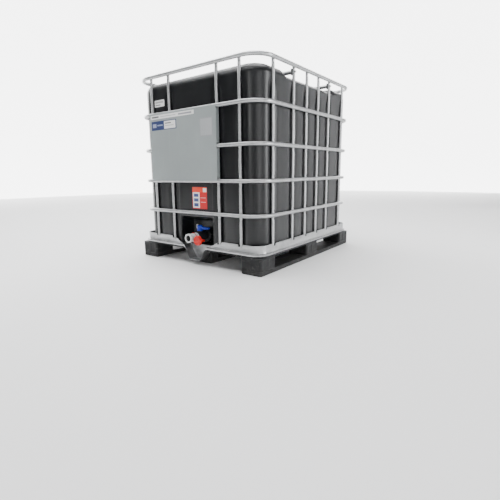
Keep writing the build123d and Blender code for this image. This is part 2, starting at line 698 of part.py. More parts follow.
with BuildPart() as spout:
    with BuildSketch(front(BODY_FRONT)):
        with Locations((0, AXIS_Z)):
            Circle(SPOUT_NECK / 2)
    extrude(amount=SPOUT_FRONT - SPOUT_COLLAR - BODY_FRONT)
    with BuildSketch(front(SPOUT_FRONT - SPOUT_COLLAR)):
        with Locations((0, AXIS_Z)):
            Circle(SPOUT_D / 2)
    extrude(amount=SPOUT_COLLAR)
    fillet(spout.faces().sort_by(Axis.Y)[0].edges(), SPOUT_EDGE)
    with BuildSketch(front(BODY_FRONT)):
        with Locations((0, AXIS_Z)):
            Circle(VALVE_BORE / 2 - FIT)
    extrude(amount=-SPIGOT_LENGTH)
    with BuildSketch(front(BODY_FRONT - SPIGOT_LENGTH)):
        with Locations((0, AXIS_Z)):
            Circle(SPOUT_MOUTH / 2)
    extrude(amount=SPOUT_FRONT - BODY_FRONT + SPIGOT_LENGTH, mode=Mode.SUBTRACT)

spindle_low = stud_z + 3 + RUN
with BuildPart() as spindle:
    with BuildSketch(Plane.XY.offset(spindle_low)):
        with Locations((0, -SPINDLE_BACK)):
            Circle(SPINDLE_D / 2)
    extrude(amount=hub_top - 6 - spindle_low)

with BuildPart() as valve_disc:
    with BuildSketch(front(SPINDLE_BACK - DISC_T / 2)):
        with Locations((0, AXIS_Z)):
            Circle(seal_r - SEAL_T)
    extrude(amount=DISC_T)
    with BuildSketch(Plane.XY.offset(AXIS_Z - VALVE_BORE / 2 + 5)):
        with Locations((0, -SPINDLE_BACK)):
            Circle(SPINDLE_D / 2 + 2.5)
    extrude(amount=VALVE_BORE - 10)
    with BuildSketch(Plane.XY.offset(spindle_low)):
        with Locations((0, -SPINDLE_BACK)):
            Circle(SPINDLE_D / 2 + RUN)
    extrude(amount=hub_top - spindle_low, mode=Mode.SUBTRACT)

with BuildPart() as disc_seal:
    with BuildSketch(front(SPINDLE_BACK - DISC_T / 2 + 1)):
        with Locations((0, AXIS_Z)):
            Circle(seal_r)
            Circle(seal_r - SEAL_T, mode=Mode.SUBTRACT)
    extrude(amount=DISC_T - 2)
    with BuildSketch(Plane.XY.offset(spindle_low)):
        with Locations((0, -SPINDLE_BACK)):
            Circle(SPINDLE_D / 2 + RUN)
    extrude(amount=hub_top - spindle_low, mode=Mode.SUBTRACT)

# the lever: a hub over the spindle and a tapering arm that points along +X when the valve is shut
arm_top = hub_top - 5
with BuildPart() as lever:
    with BuildSketch(front(SPINDLE_BACK)):
        with BuildLine():
            Polyline(
                (0, arm_top), (LEVER_REACH, arm_top - 7), (LEVER_REACH, arm_top - 7 - LEVER_THICK[1]),
                (0, arm_top - LEVER_THICK[0]), close=True,
            )
        make_face()
    extrude(amount=LEVER_ROOT, both=True)
    with BuildSketch(Plane.XY.offset(hub_bottom)):
        with BuildLine():
            Polyline(
                (0, -SPINDLE_BACK - LEVER_ROOT / 2), (LEVER_REACH, -SPINDLE_BACK - LEVER_TIP / 2),
                (LEVER_REACH, -SPINDLE_BACK + LEVER_TIP / 2), (0, -SPINDLE_BACK + LEVER_ROOT / 2), close=True,
            )
        arm_plan = make_face()
        fillet(arm_plan.vertices().group_by(Axis.X)[-1], LEVER_TIP / 2 - 1)
    extrude(amount=HUB[1], mode=Mode.INTERSECT)
    with BuildSketch(Plane.XY.offset(hub_bottom)):
        with Locations((0, -SPINDLE_BACK)):
            Circle(HUB[0] / 2)
    extrude(amount=HUB[1])
    fillet(lever.faces().sort_by(Axis.Z)[-1].edges(), 3)
    with BuildSketch(Plane.XY.offset(hub_bottom)):
        with Locations((0, -SPINDLE_BACK)):
            Circle(SPINDLE_D / 2 + RUN)
    extrude(amount=HUB[1] - 6, mode=Mode.SUBTRACT)
    # guide for the latch, on the side away from the arm
    with BuildSketch(Plane.XY.offset(hub_bottom)):
        with Locations((-HUB[0] / 2, -SPINDLE_BACK)):
            Rectangle(12 + 2 * FIT, LATCH[1] + 2 * FIT)
    extrude(amount=HUB[1], mode=Mode.SUBTRACT)

with BuildPart() as lever_latch:
    with BuildSketch(Plane.XY.offset(hub_top + 3 - LATCH[2])):
        with Locations((-HUB[0] / 2 - (LATCH[0] - 12) / 2 - 2, -SPINDLE_BACK)):
            RectangleRounded(LATCH[0], LATCH[1], 2)
    extrude(amount=LATCH[2])

post_x = cap_x + CAP_D / 2 + STRAP_T / 2
with BuildPart() as cap_strap:
    with BuildSketch(front(CAP_FACE - CAP_LENGTH - 18)):
        with Locations((0, AXIS_Z)):
            Circle(SPOUT_NECK / 2 + RUN + STRAP_T)
        with Locations(((SPOUT_NECK / 2 + post_x) / 2, cap_z)):
            Rectangle(post_x - SPOUT_NECK / 2 + STRAP_T, STRAP_W)
        with Locations((0, AXIS_Z)):
            Circle(SPOUT_NECK / 2 + RUN, mode=Mode.SUBTRACT)
    extrude(amount=STRAP_T)
    with BuildSketch(front(CAP_FACE - CAP_LENGTH - 18)):
        with Locations((post_x, cap_z)):
            Rectangle(STRAP_T, STRAP_W)
    extrude(amount=CAP_LENGTH + 14)

with BuildPart() as dust_cap:
    with BuildSketch(front(CAP_FACE - CAP_LENGTH)):
        with Locations((cap_x, cap_z)):
            Circle(CAP_D / 2)
    extrude(amount=CAP_LENGTH)
    fillet(dust_cap.faces().sort_by(Axis.Y)[0].edges(), 2.5)
    with BuildSketch(front(CAP_FACE - CAP_LENGTH)):
        with Locations((cap_x, cap_z)):
            Circle(SPOUT_D / 2 + 0.3)
    extrude(amount=CAP_LENGTH - CAP_WALL, mode=Mode.SUBTRACT)

with BuildPart() as cap_gasket:
    with BuildSketch(front(CAP_FACE - CAP_WALL)):
        with Locations((cap_x, cap_z)):
            Circle(SPOUT_D / 2)
            Circle(SPOUT_MOUTH / 2 + 1, mode=Mode.SUBTRACT)
    extrude(amount=-GASKET_T)

for name, piece in {
    "outlet_gasket": outlet_gasket, "flange_nut": flange_nut, "valve_body": valve_body,
    "spindle_seal": spindle_seal, "spout": spout, "spindle": spindle, "valve_disc": valve_disc,
    "disc_seal": disc_seal, "lever": lever, "lever_latch": lever_latch, "cap_strap": cap_strap,
    "dust_cap": dust_cap, "cap_gasket": cap_gasket,
}.items():
    save(name, piece.part)

# ---------------------------------------------------------------- name plate and labels
plate_face = LENGTH / 2 + PLATE_SHEET
with BuildPart() as name_plate:
    with BuildSketch(front(LENGTH / 2)):
        with Locations(((PLATE_LEFT + PLATE_RIGHT) / 2, (plate_bottom + plate_top) / 2)):
            Rectangle(PLATE_RIGHT - PLATE_LEFT, plate_top - plate_bottom)
    extrude(amount=PLATE_SHEET)
    # edge turned back over the last upright, between the two rings
    return_low = RING_HEIGHTS[1] + ring_r + 6
    return_high = RING_HEIGHTS[3] - ring_r - 6
    with BuildSketch(Plane.YZ.offset(PLATE_RIGHT - PLATE_SHEET)):
        with BuildLine():
            Polyline(
                (-LENGTH / 2, return_low), (-LENGTH / 2, return_high),
                (-LENGTH / 2 + PLATE_RETURN, return_high), (-LENGTH / 2 + PLATE_RETURN, return_low), close=True,
            )
        make_face()
        with Locations((-LENGTH / 2 + PLATE_RETURN, RING_HEIGHTS[2])):
            Rectangle(2 * PLATE_RETURN, RING_TUBE + 10, mode=Mode.SUBTRACT)
    extrude(amount=PLATE_SHEET)

with BuildPart() as plate_clips:
    for x in (PLATE_LEFT + 60, PLATE_RIGHT - 60):
        for z in (RING_HEIGHTS[1], RING_HEIGHTS[3]):
            with BuildSketch(Plane.YZ.offset(x - PLATE_HOOK[0] / 2)):
                with Locations((-ring_y, z)):
                    Circle(ring_r + PLATE_SHEET)
                    Circle(ring_r + FIT / 2, mode=Mode.SUBTRACT)
                with Locations((-LENGTH / 2 - ring_r + 2, z)):
                    Rectangle(RING_TUBE, PLATE_HOOK[1] + 20, mode=Mode.SUBTRACT)
            extrude(amount=PLATE_HOOK[0])


def make_label(back, low, high):
    """Thin printed sheet whose back lies on the vertical plane `back`; corners given as (x, z)."""
    with BuildPart() as label:
        with BuildSketch(front(back)):
            with Locations(((low[0] + high[0]) / 2, (low[1] + high[1]) / 2)):
                RectangleRounded(high[0] - low[0], high[1] - low[1], LABEL_CORNER)
        extrude(amount=LABEL_T)
    return label.part


labels = {
    "plate_strip_label": make_label(plate_face, *STRIP_LABEL),
    "plate_blue_label": make_label(plate_face, *BLUE_LABEL),
    "plate_pale_label": make_label(plate_face, *PALE_LABEL),
    "tank_batch_label": make_label(tank_y, *BATCH_LABEL),
    "tank_warning_label": make_label(tank_y, *WARNING_LABEL),
}
save("name_plate", name_plate.part)
save("plate_clips", plate_clips.part)
for name, label in labels.items():
    save(name, label)
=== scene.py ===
"""Looks of an intermediate bulk container: its cage, tank, pan, pallet, outlet valve and name plate.

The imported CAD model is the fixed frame. Each operator builds one piece, or one group of like pieces,
around it. Lengths are in metres, +Z is up and the outlet valve faces -Y.
"""
import json
from itertools import product
from math import radians

import bmesh
import bpy
import numpy as np
from bpy.props import FloatProperty, FloatVectorProperty, IntProperty, PointerProperty
from mathutils import Matrix, Vector


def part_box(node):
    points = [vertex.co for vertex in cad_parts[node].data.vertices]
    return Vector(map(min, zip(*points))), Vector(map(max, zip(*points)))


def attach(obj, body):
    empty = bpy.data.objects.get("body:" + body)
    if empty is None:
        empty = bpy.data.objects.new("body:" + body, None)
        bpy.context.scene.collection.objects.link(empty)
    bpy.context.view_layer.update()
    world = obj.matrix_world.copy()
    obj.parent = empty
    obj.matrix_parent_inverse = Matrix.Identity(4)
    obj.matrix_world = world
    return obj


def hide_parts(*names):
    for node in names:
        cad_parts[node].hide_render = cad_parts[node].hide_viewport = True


bl_info = {
    "name": "Bulk Container",
    "version": (1, 0, 0),
    "blender": (4, 5, 0),
    "location": "View3D > Sidebar > Container",
    "description": "Builds the visible pieces of an intermediate bulk container around its frame",
    "category": "Add Mesh",
}

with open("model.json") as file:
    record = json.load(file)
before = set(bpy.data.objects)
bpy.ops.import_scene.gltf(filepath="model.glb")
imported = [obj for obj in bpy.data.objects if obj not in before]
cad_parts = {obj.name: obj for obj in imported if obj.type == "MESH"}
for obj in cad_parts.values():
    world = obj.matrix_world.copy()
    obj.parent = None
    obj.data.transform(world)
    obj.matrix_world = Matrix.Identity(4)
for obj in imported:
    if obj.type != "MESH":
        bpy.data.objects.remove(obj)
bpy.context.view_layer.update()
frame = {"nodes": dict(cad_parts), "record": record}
NODES = frame["nodes"]
ROOT = "container"
SIDE = np.array([1.0, 0.0, 0.0])
UP = np.array([0.0, 0.0, 1.0])
OUTWARD = (0, -1, 0)


# ---------------------------------------------------------------- sizes read from the frame
def node_box(name):
    """Lowest and highest corner of a CAD node as two arrays."""
    low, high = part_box(name)
    return np.array(low), np.array(high)


def node_islands(name):
    """Centre (x, y) of each separate solid of a CAD node, read from its mesh."""
    source = bmesh.new()
    source.from_mesh(NODES[name].data)
    bmesh.ops.remove_doubles(source, verts=source.verts, dist=1e-5)
    source.verts.ensure_lookup_table()
    seen = set()
    centres = []
    for start in source.verts:
        if start.index in seen:
            continue
        stack = [start]
        island = []
        seen.add(start.index)
        while stack:
            vert = stack.pop()
            island.append(vert.co.copy())
            for edge in vert.link_edges:
                other = edge.other_vert(vert)
                if other.index not in seen:
                    seen.add(other.index)
                    stack.append(other)
        corners = np.array(island)
        centres.append(tuple((corners.min(0) + corners.max(0))[:2] / 2))
    source.free()
    return sorted(centres)


RING_NAMES = ("ring_1", "ring_2", "ring_3", "ring_4", "ring_top")
RING_LOW, RING_HIGH = node_box("ring_top")
RING_R = (RING_HIGH[2] - RING_LOW[2]) / 2
RING_X = RING_HIGH[0] - RING_R
RING_Y = RING_HIGH[1] - RING_R
RING_Z = [float(sum(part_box(name)[i][2] for i in (0, 1)) / 2) for name in RING_NAMES]
UP_LOW, UP_HIGH = node_box("front_uprights")
UPRIGHT_R = (UP_HIGH[1] - UP_LOW[1]) / 2
UPRIGHT_X = float(sum(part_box("right_uprights")[i][0] for i in (0, 1)) / 2)
INSET = RING_X - UPRIGHT_X
TANK_LOW, TANK_HIGH = node_box("tank")
PAN_LOW, PAN_HIGH = node_box("pan")
SPOUT_LOW, SPOUT_HIGH = node_box("spout")
SPOUT_AXIS = float(SPOUT_LOW[2] + SPOUT_HIGH[2]) / 2
LEVER_LOW, LEVER_HIGH = node_box("lever")
SPINDLE_LOW, SPINDLE_HIGH = node_box("spindle")
SPINDLE_Y = float(SPINDLE_LOW[1] + SPINDLE_HIGH[1]) / 2
DECK_TOP = float(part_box("pallet_deck")[1][2])

FACING = {"front": (0, -1), "rear": (0, 1), "left": (-1, 0), "right": (1, 0)}
RUNS_ALONG = {"front": 0, "rear": 0, "left": 1, "right": 1}
UPRIGHTS = {side: node_islands(f"{side}_uprights") for side in FACING}


# ---------------------------------------------------------------- properties
class TubeSettings(bpy.types.PropertyGroup):
    """Bends and pressings of the cage's tubes."""

    corner: FloatProperty(
        name="Ring corner", description="Bend radius of the rings", default=0.12, unit="LENGTH"
    )
    dent: FloatProperty(
        name="Dent", description="Depth of the pressings beside a crossing", default=0.0026, unit="LENGTH"
    )
    dent_spread: FloatProperty(
        name="Dent spread", description="Half height of one pressing", default=0.0075, unit="LENGTH"
    )
    around: IntProperty(name="Around", description="Points round a tube", default=20)


class TankSettings(bpy.types.PropertyGroup):
    """Shape of the blown tank."""

    corner: FloatProperty(
        name="Corner", description="Radius of its corners", default=0.115, unit="LENGTH"
    )
    shoulder: FloatProperty(
        name="Shoulder", description="Radius of its top edge", default=0.052, unit="LENGTH"
    )
    base: FloatProperty(
        name="Base", description="Radius of its bottom edge", default=0.026, unit="LENGTH"
    )
    raised: FloatProperty(
        name="Raised", description="Height of its raised ends", default=0.024, unit="LENGTH"
    )
    flute: FloatProperty(name="Flute", description="Depth of a flute", default=0.0095, unit="LENGTH")
    flute_width: FloatProperty(
        name="Flute width", description="Half width of a flute", default=0.05, unit="LENGTH"
    )


class PanSettings(bpy.types.PropertyGroup):
    """Shape of the pressed pan."""

    corner: FloatProperty(name="Corner", description="Corner of the lip", default=0.075, unit="LENGTH")


class FinishSettings(bpy.types.PropertyGroup):
    """Colours of the container's finishes."""

    zinc: FloatVectorProperty(
        name="Zinc", description="Galvanised steel", subtype="COLOR", default=(0.44, 0.445, 0.45)
    )
    black: FloatVectorProperty(
        name="Black", description="Blown plastic", subtype="COLOR", default=(0.0045, 0.005, 0.006)
    )
    pallet: FloatVectorProperty(
        name="Pallet", description="Pallet plastic", subtype="COLOR", default=(0.012, 0.0125, 0.0135)
    )
    plate: FloatVectorProperty(
        name="Plate", description="Painted plate", subtype="COLOR", default=(0.27, 0.3, 0.3)
    )
    blue: FloatVectorProperty(
        name="Blue", description="Lever", subtype="COLOR", default=(0.003, 0.03, 0.42)
    )
    red: FloatVectorProperty(name="Red", description="Caps", subtype="COLOR", default=(0.6, 0.012, 0.008))
    grey: FloatVectorProperty(name="Grey", description="Spout", subtype="COLOR", default=(0.6, 0.61, 0.6))


class StageSettings(bpy.types.PropertyGroup):
    """Place, aim and lens of the camera."""

    camera_at: FloatVectorProperty(
        name="Camera",
        description="Camera position",
        subtype="TRANSLATION",
        default=(1.5843, -2.1617, 0.5631),
    )
    turn: FloatProperty(
        name="Turn", description="Heading, from +Y to -X", subtype="ANGLE", default=radians(37.76)
    )
    tilt: FloatProperty(
        name="Tilt", description="Angle below the horizon", subtype="ANGLE", default=radians(10.61)
    )
    roll: FloatProperty(
        name="Roll", description="Roll of the camera", subtype="ANGLE", default=radians(-0.76)
    )
    lens: FloatProperty(
        name="Lens", description="Focal length on a 36 mm sensor", unit="CAMERA", default=26.2
    )
    shift: FloatVectorProperty(
        name="Shift", description="Shift of the view", size=2, default=(0.0156, -0.0194)
    )


SETTINGS = {
    "container_tubes": TubeSettings,
    "container_tank": TankSettings,
    "container_pan": PanSettings,
    "container_finishes": FinishSettings,
    "container_stage": StageSettings,
}


# ---------------------------------------------------------------- shader expressions
class Value:
    """A shader socket whose operators add Math nodes."""

    def __init__(self, shader, socket):
        self.shader = shader
        self.socket = socket

    def _math(self, operation, *terms):
        terms = [t.socket if isinstance(t, Value) else t for t in terms]
        return self.shader.node("ShaderNodeMath", {"operation": operation}, dict(enumerate(terms)))

    def __add__(self, other):
        return self._math("ADD", self, other)

    def __radd__(self, other):
        return self._math("ADD", other, self)

    def __sub__(self, other):
        return self._math("SUBTRACT", self, other)

    def __rsub__(self, other):
        return self._math("SUBTRACT", other, self)

    def __mul__(self, other):
        return self._math("MULTIPLY", self, other)

    def __pow__(self, other):
        return self._math("POWER", self, other)

    def ramp(self, start, end):
        """0 at start and 1 at end, smooth between them and held outside them."""
        settings = {"interpolation_type": "SMOOTHSTEP"}
        links = {"Value": self.socket, "From Min": start, "From Max": end}
        return self.shader.node("ShaderNodeMapRange", settings, links)


class Shader:
    """A material built by expressions: one method adds any node."""

    def __init__(self, name, **constants):
        self.material = bpy.data.materials.new(f"{name}_finish")
        self.material.use_nodes = True
        self.tree = self.material.node_tree
        self.tree.nodes.clear()
        output = self.tree.nodes.new("ShaderNodeOutputMaterial")
        self.bsdf = self.tree.nodes.new("ShaderNodeBsdfPrincipled")
        self.tree.links.new(self.bsdf.outputs[0], output.inputs[0])
        for socket, value in constants.items():
            self.bsdf.inputs[socket.replace("_", " ")].default_value = value
        where = self.node("ShaderNodeTexCoord", {}, {}, "Object")
        self.where = where
        split = self.tree.nodes.new("ShaderNodeSeparateXYZ")
        self.tree.links.new(where.socket, split.inputs[0])
        self.x, self.y, self.z = (Value(self, split.outputs[i]) for i in range(3))
        facing = self.node("ShaderNodeNewGeometry", {}, {}, "Normal")
        turned = self.tree.nodes.new("ShaderNodeSeparateXYZ")
        self.tree.links.new(facing.socket, turned.inputs[0])
        self.up = Value(self, turned.outputs[2])

    def node(self, kind, settings, inputs, output=0):
        """Add a node: its settings first, then the values or links of its inputs. Returns one output."""
        added = self.tree.nodes.new(kind)
        for key, value in settings.items():
            if key == "stops":
                self._stops(added.color_ramp, value)
            else:
                setattr(added, key, value)
        for key, value in inputs.items():
            socket = added.inputs[key]
            value = value.socket if isinstance(value, Value) else value
            if isinstance(value, bpy.types.NodeSocket):
                self.tree.links.new(value, socket)
            else:
                socket.default_value = value
        return Value(self, added.outputs[output])

    @staticmethod
    def _stops(ramp, stops):
        while len(ramp.elements) < len(stops):
            ramp.elements.new(0.5)
        for element, (place, colour) in zip(ramp.elements, stops):
            element.position = place
            element.color = (*colour, 1.0)

    def noise(self, scale, detail=4.0, squash=(1, 1, 1), distort=0.0):
        """Fractal noise from 0 to 1 on object coordinates, squashed along each axis."""
        place = self.where
        if tuple(squash) != (1, 1, 1):
            place = self.node("ShaderNodeVectorMath", {"operation": "MULTIPLY"}, {0: self.where, 1: squash})
        links = {"Vector": place, "Scale": scale, "Detail": detail, "Distortion": distort}
        return self.node("ShaderNodeTexNoise", {}, {**links, "Roughness": 0.55})

    def crystals(self, scale):
        """A grey from 0 to 1 for each Voronoi cell on object coordinates."""
        links = {"Vector": self.where, "Scale": scale}
        colour = self.node("ShaderNodeTexVoronoi", {"feature": "F1"}, links, "Color")
        return self.node("ShaderNodeSeparateColor", {}, {0: colour})

    def mix(self, amount, first, second):
        """Blend two colours by amount."""
        settings = {"data_type": "RGBA", "clamp_factor": True}
        first, second = (c if isinstance(c, Value) else (*c, 1.0) for c in (first, second))
        return self.node("ShaderNodeMix", settings, {0: amount, 6: first, 7: second}, 2)

    def shade(self, colour, factor):
        """A colour made lighter or darker by a factor."""
        grey = self.node("ShaderNodeCombineXYZ", {}, {0: factor, 1: factor, 2: factor})
        colour = colour if isinstance(colour, Value) else tuple(colour)
        return self.node("ShaderNodeVectorMath", {"operation": "MULTIPLY"}, {0: colour, 1: grey})

    def edges(self, spread=0.0015):
        """About 1 on sharp outer edges, 0 on flat faces."""
        bevel = self.node("ShaderNodeBevel", {"samples": 4}, {"Radius": spread})
        facing = self.node("ShaderNodeNewGeometry", {}, {}, "Normal")
        settings = {"operation": "DOT_PRODUCT"}
        dot = self.node("ShaderNodeVectorMath", settings, {0: bevel, 1: facing}, "Value")
        return (1.0 - dot).ramp(0.02, 0.3)

    def finish(self, colour=None, rough=None, metal=None, height=None, depth=0.0005, coat=None):
        """Link what varies over the surface to the shader, and return the material."""
        links = {"Base Color": colour, "Roughness": rough, "Metallic": metal, "Coat Weight": coat}
        for socket, value in links.items():
            if value is not None:
                self.tree.links.new(value.socket, self.bsdf.inputs[socket])
        if height is not None:
            bump = self.node("ShaderNodeBump", {}, {"Strength": 1.0, "Distance": depth, "Height": height})
            self.tree.links.new(bump.socket, self.bsdf.inputs["Normal"])
        return self.material


# ---------------------------------------------------------------- finishes
def finish_of(slot):
    """The finish made for a material slot of the frame."""
    return bpy.data.materials[f"{slot}_finish"]


def zinc_finish(name, tint, spangle, streak=(1, 1, 0.15)):
    """Hot-dip zinc: crystals of slightly different grey, rain streaks, a dull bloom, and painted shade low
    down behind the pan's front edge.
    """
    s = Shader(name)
    grain = s.crystals(spangle)
    cloud = s.noise(9.0, 5.0)
    runs = s.noise(22.0, 3.0, squash=streak)
    bloom = s.noise(60.0, 4.0).ramp(0.45, 0.75)
    # painted shade: zinc lower than 0.112 m and behind the pan's front edge is darkened, as shade under the
    # pan's lip
    painted_low_shade = s.z.ramp(0.119, 0.112) * s.y.ramp(-0.598, -0.59) * 0.25
    tone = 0.84 + grain * 0.18 + cloud * 0.2 - runs.ramp(0.45, 0.8) * 0.25 - painted_low_shade
    colour = s.shade(tint, tone)
    rough = 0.27 + grain * 0.1 + bloom * 0.12 + cloud * 0.08
    height = grain * 0.2 + s.noise(300.0, 2.0) * 0.1 + cloud * 0.5
    metal = 1.0 - bloom * 0.15
    return s.finish(colour, rough, metal, height, 0.0001)


def spout_finish(name, tint, rim):
    """Pale moulded plastic, with painted shade darkening it inside the bore of radius rim."""
    s = Shader(name, Specular_IOR_Level=0.45)
    height = s.z - SPOUT_AXIS
    away = (s.x * s.x + height * height) ** 0.5
    # painted shade: everything within the bore's radius is darkened almost to black, standing for the shade
    # inside the hollow spout
    painted_bore_shade = away.ramp(rim + 0.0012, rim - 0.0002)
    cloud = s.noise(14.0, 5.0)
    base = s.shade(tint, 0.85 + cloud * 0.25)
    colour = s.mix(painted_bore_shade * 0.95, base, (0.02, 0.02, 0.02))
    return s.finish(colour, 0.4 + cloud * 0.15, height=s.noise(900.0, 2.0), depth=0.0001)


def blown_finish(name, tint):
    """Blown black plastic: satin, with fine pitting, soft flow marks and dust on what faces up."""
    s = Shader(name, Specular_IOR_Level=0.5)
    cloud = s.noise(5.0, 5.0, distort=0.6)
    streak = s.noise(16.0, 3.0, squash=(1, 1, 0.08))
    pits = s.noise(420.0, 2.0)
    dust = s.up.ramp(0.2, 1.0) * s.noise(30.0, 6.0).ramp(0.35, 0.7)
    base = s.shade(tint, 0.8 + cloud * 0.5 + streak.ramp(0.4, 0.8) * 0.25)
    colour = s.mix(dust * 0.2, base, (0.06, 0.06, 0.058))
    rough = 0.27 + cloud * 0.1 + streak.ramp(0.4, 0.7) * 0.05 + dust * 0.2
    height = pits * 0.04 + s.noise(9.0, 2.0) * 2.0 + streak
    return s.finish(colour, rough, height=height, depth=0.0003)


def moulded_finish(name, tint, worn):
    """Moulded plastic: fine texture, faint flow clouds, and paler scuffs on its edges."""
    s = Shader(name, Specular_IOR_Level=0.45)
    cloud = s.noise(14.0, 5.0)
    fine = s.noise(900.0, 2.0)
    scuff = s.edges() * s.noise(70.0, 5.0).ramp(0.35, 0.6)
    base = s.shade(tint, 0.88 + cloud * 0.24)
    colour = s.mix(scuff * 0.25, base, worn)
    rough = 0.42 + cloud * 0.12 + scuff * 0.2
    return s.finish(colour, rough, height=fine + cloud * 0.8, depth=0.00015)


def pallet_finish(name, tint):
    """Pallet plastic: dull, scraped and dusty towards the floor."""
    s = Shader(name, Specular_IOR_Level=0.3)
    cloud = s.noise(11.0, 6.0)
    scrape = s.noise(60.0, 4.0, squash=(1, 0.12, 1)).ramp(0.58, 0.7)
    low = s.z.ramp(0.1, 0.0) * s.noise(18.0, 5.0).ramp(0.3, 0.65)
    base = s.shade(tint, 0.8 + cloud * 0.45)
    worn = s.mix(scrape * 0.3 + s.edges(0.002) * 0.45, base, (0.09, 0.09, 0.09))
    colour = s.mix(low * 0.3, worn, (0.07, 0.068, 0.062))
    rough = 0.5 + cloud * 0.15 + low * 0.2
    return s.finish(colour, rough, height=s.noise(350.0, 3.0) + scrape * 0.8, depth=0.0004)


def rubber_finish(name):
    """Black seal rubber, matte with a bloom."""
    s = Shader(name, Specular_IOR_Level=0.3)
    bloom = s.noise(80.0, 5.0)
    colour = s.mix(bloom, (0.012, 0.012, 0.012), (0.04, 0.04, 0.04))
    return s.finish(colour, 0.62 + bloom * 0.2, height=s.noise(900.0, 2.0), depth=0.0001)


def painted_finish(name, tint):
    """Satin grey paint on thin sheet: faint orange peel, oil-canning, rubbed patches, and every edge made
    paler as rubbed paint and painted highlight.
    """
    s = Shader(name, Specular_IOR_Level=0.5)
    cloud = s.noise(4.0, 5.0)
    runs = s.noise(30.0, 3.0, squash=(1, 1, 0.1)).ramp(0.5, 0.85)
    scuff = s.noise(45.0, 6.0).ramp(0.62, 0.75)
    base = s.shade(tint, 0.85 + cloud * 0.3 + runs * 0.08)
    # painted highlight: every sharp edge is made paler evenly, standing for light caught on the thin
    # sheet's edges as well as rubbed paint
    colour = s.mix(scuff * 0.18 + s.edges() * 0.5, base, (0.42, 0.43, 0.44))
    rough = 0.36 + cloud * 0.12 + scuff * 0.15
    height = s.noise(500.0, 2.0) * 0.2 + s.noise(3.0, 2.0) * 4.0
    return s.finish(colour, rough, height=height, depth=0.0012)


def steel_finish(name, tint, rough_base):
    """Bright plated steel with faint wiping marks."""
    s = Shader(name, Metallic=1.0)
    cloud = s.noise(120.0, 4.0)
    colour = s.shade(tint, 0.85 + cloud * 0.25)
    return s.finish(colour, rough_base + cloud * 0.2, height=s.noise(700.0, 3.0), depth=0.0001)


def panel_mask(s, low, high, soft=0.0008):
    """1 inside the upright rectangle from low to high, given as (x, z), with slightly soft edges."""
    across = s.x.ramp(low[0] - soft, low[0] + soft) * s.x.ramp(high[0] + soft, high[0] - soft)
    return across * s.z.ramp(low[1] - soft, low[1] + soft) * s.z.ramp(high[1] + soft, high[1] - soft)


def label_finish(node, ground, panels):
    """Printed label: coloured panels placed by fractions of the label, with handling marks and no text."""
    low, high = node_box(node)
    s = Shader(node, Specular_IOR_Level=0.45)
    colour = s.mix(s.noise(40.0, 4.0) * 0.3, ground, tuple(0.85 * c for c in ground))
    for left, bottom, right, top, ink in panels:
        start = (low[0] + left * (high[0] - low[0]), low[2] + bottom * (high[2] - low[2]))
        end = (low[0] + right * (high[0] - low[0]), low[2] + top * (high[2] - low[2]))
        colour = s.mix(panel_mask(s, start, end), colour, ink)
    dirt = s.noise(25.0, 6.0).ramp(0.5, 0.8)
    colour = s.mix(dirt * 0.18, colour, (0.25, 0.24, 0.22))
    return s.finish(colour, 0.4 + dirt * 0.2, height=s.noise(200.0, 3.0), depth=0.0002)


# ---------------------------------------------------------------- surfaces
def mesh_object(name, grids, material, crease=35.0, wraps=(False, True)):
    """One mesh from grids of points (rows, columns, 3).

    Neighbouring points make quads, and `wraps` says whether the rows and the columns come round to
    the first again. Points that coincide, as at a pole or a seam, are merged to close the surface.
    """
    points = []
    faces = []
    offset = 0
    for grid in grids:
        rows, columns = grid.shape[:2]
        index = offset + np.arange(rows * columns).reshape(rows, columns)
        if wraps[0]:
            index = np.vstack([index, index[:1]])
        if wraps[1]:
            index = np.hstack([index, index[:, :1]])
        quads = np.stack([index[:-1, :-1], index[1:, :-1], index[1:, 1:], index[:-1, 1:]], -1)
        faces.append(quads.reshape(-1, 4))
        points.append(grid.reshape(-1, 3))
        offset += rows * columns
    mesh = bpy.data.meshes.new(name)
    mesh.from_pydata(np.concatenate(points).tolist(), [], np.concatenate(faces).tolist())
    merged = bmesh.new()
    merged.from_mesh(mesh)
    bmesh.ops.remove_doubles(merged, verts=merged.verts, dist=2e-6)
    bmesh.ops.dissolve_degenerate(merged, edges=merged.edges, dist=1e-7)
    bmesh.ops.recalc_face_normals(merged, faces=merged.faces)
    merged.to_mesh(mesh)
    merged.free()
    mesh.shade_smooth()
    mesh.set_sharp_from_angle(angle=radians(crease))
    mesh.materials.append(material)
    piece = bpy.data.objects.new(name, mesh)
    bpy.context.scene.collection.objects.link(piece)
    return piece


def add(name, grids, body, slot, *nodes, crease=35.0, wraps=(False, True)):
    """Make a piece in its slot's finish, ride it on its body, and let it stand for CAD nodes."""
    piece = mesh_object(name, grids, finish_of(slot), crease, wraps)
    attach(piece, body)
    if nodes:
        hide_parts(*nodes)


def smooth(value, start, end):
    """Smooth step from 0 at start to 1 at end."""
    t = np.clip((value - start) / (end - start), 0.0, 1.0)
    return t * t * (3.0 - 2.0 * t)


def soft_min(a, b, width):
    """The smaller of two arrays, rounded where they cross over about width."""
    h = np.clip(0.5 + 0.5 * (b - a) / width, 0.0, 1.0)
    return b * (1 - h) + a * h - width * h * (1 - h)


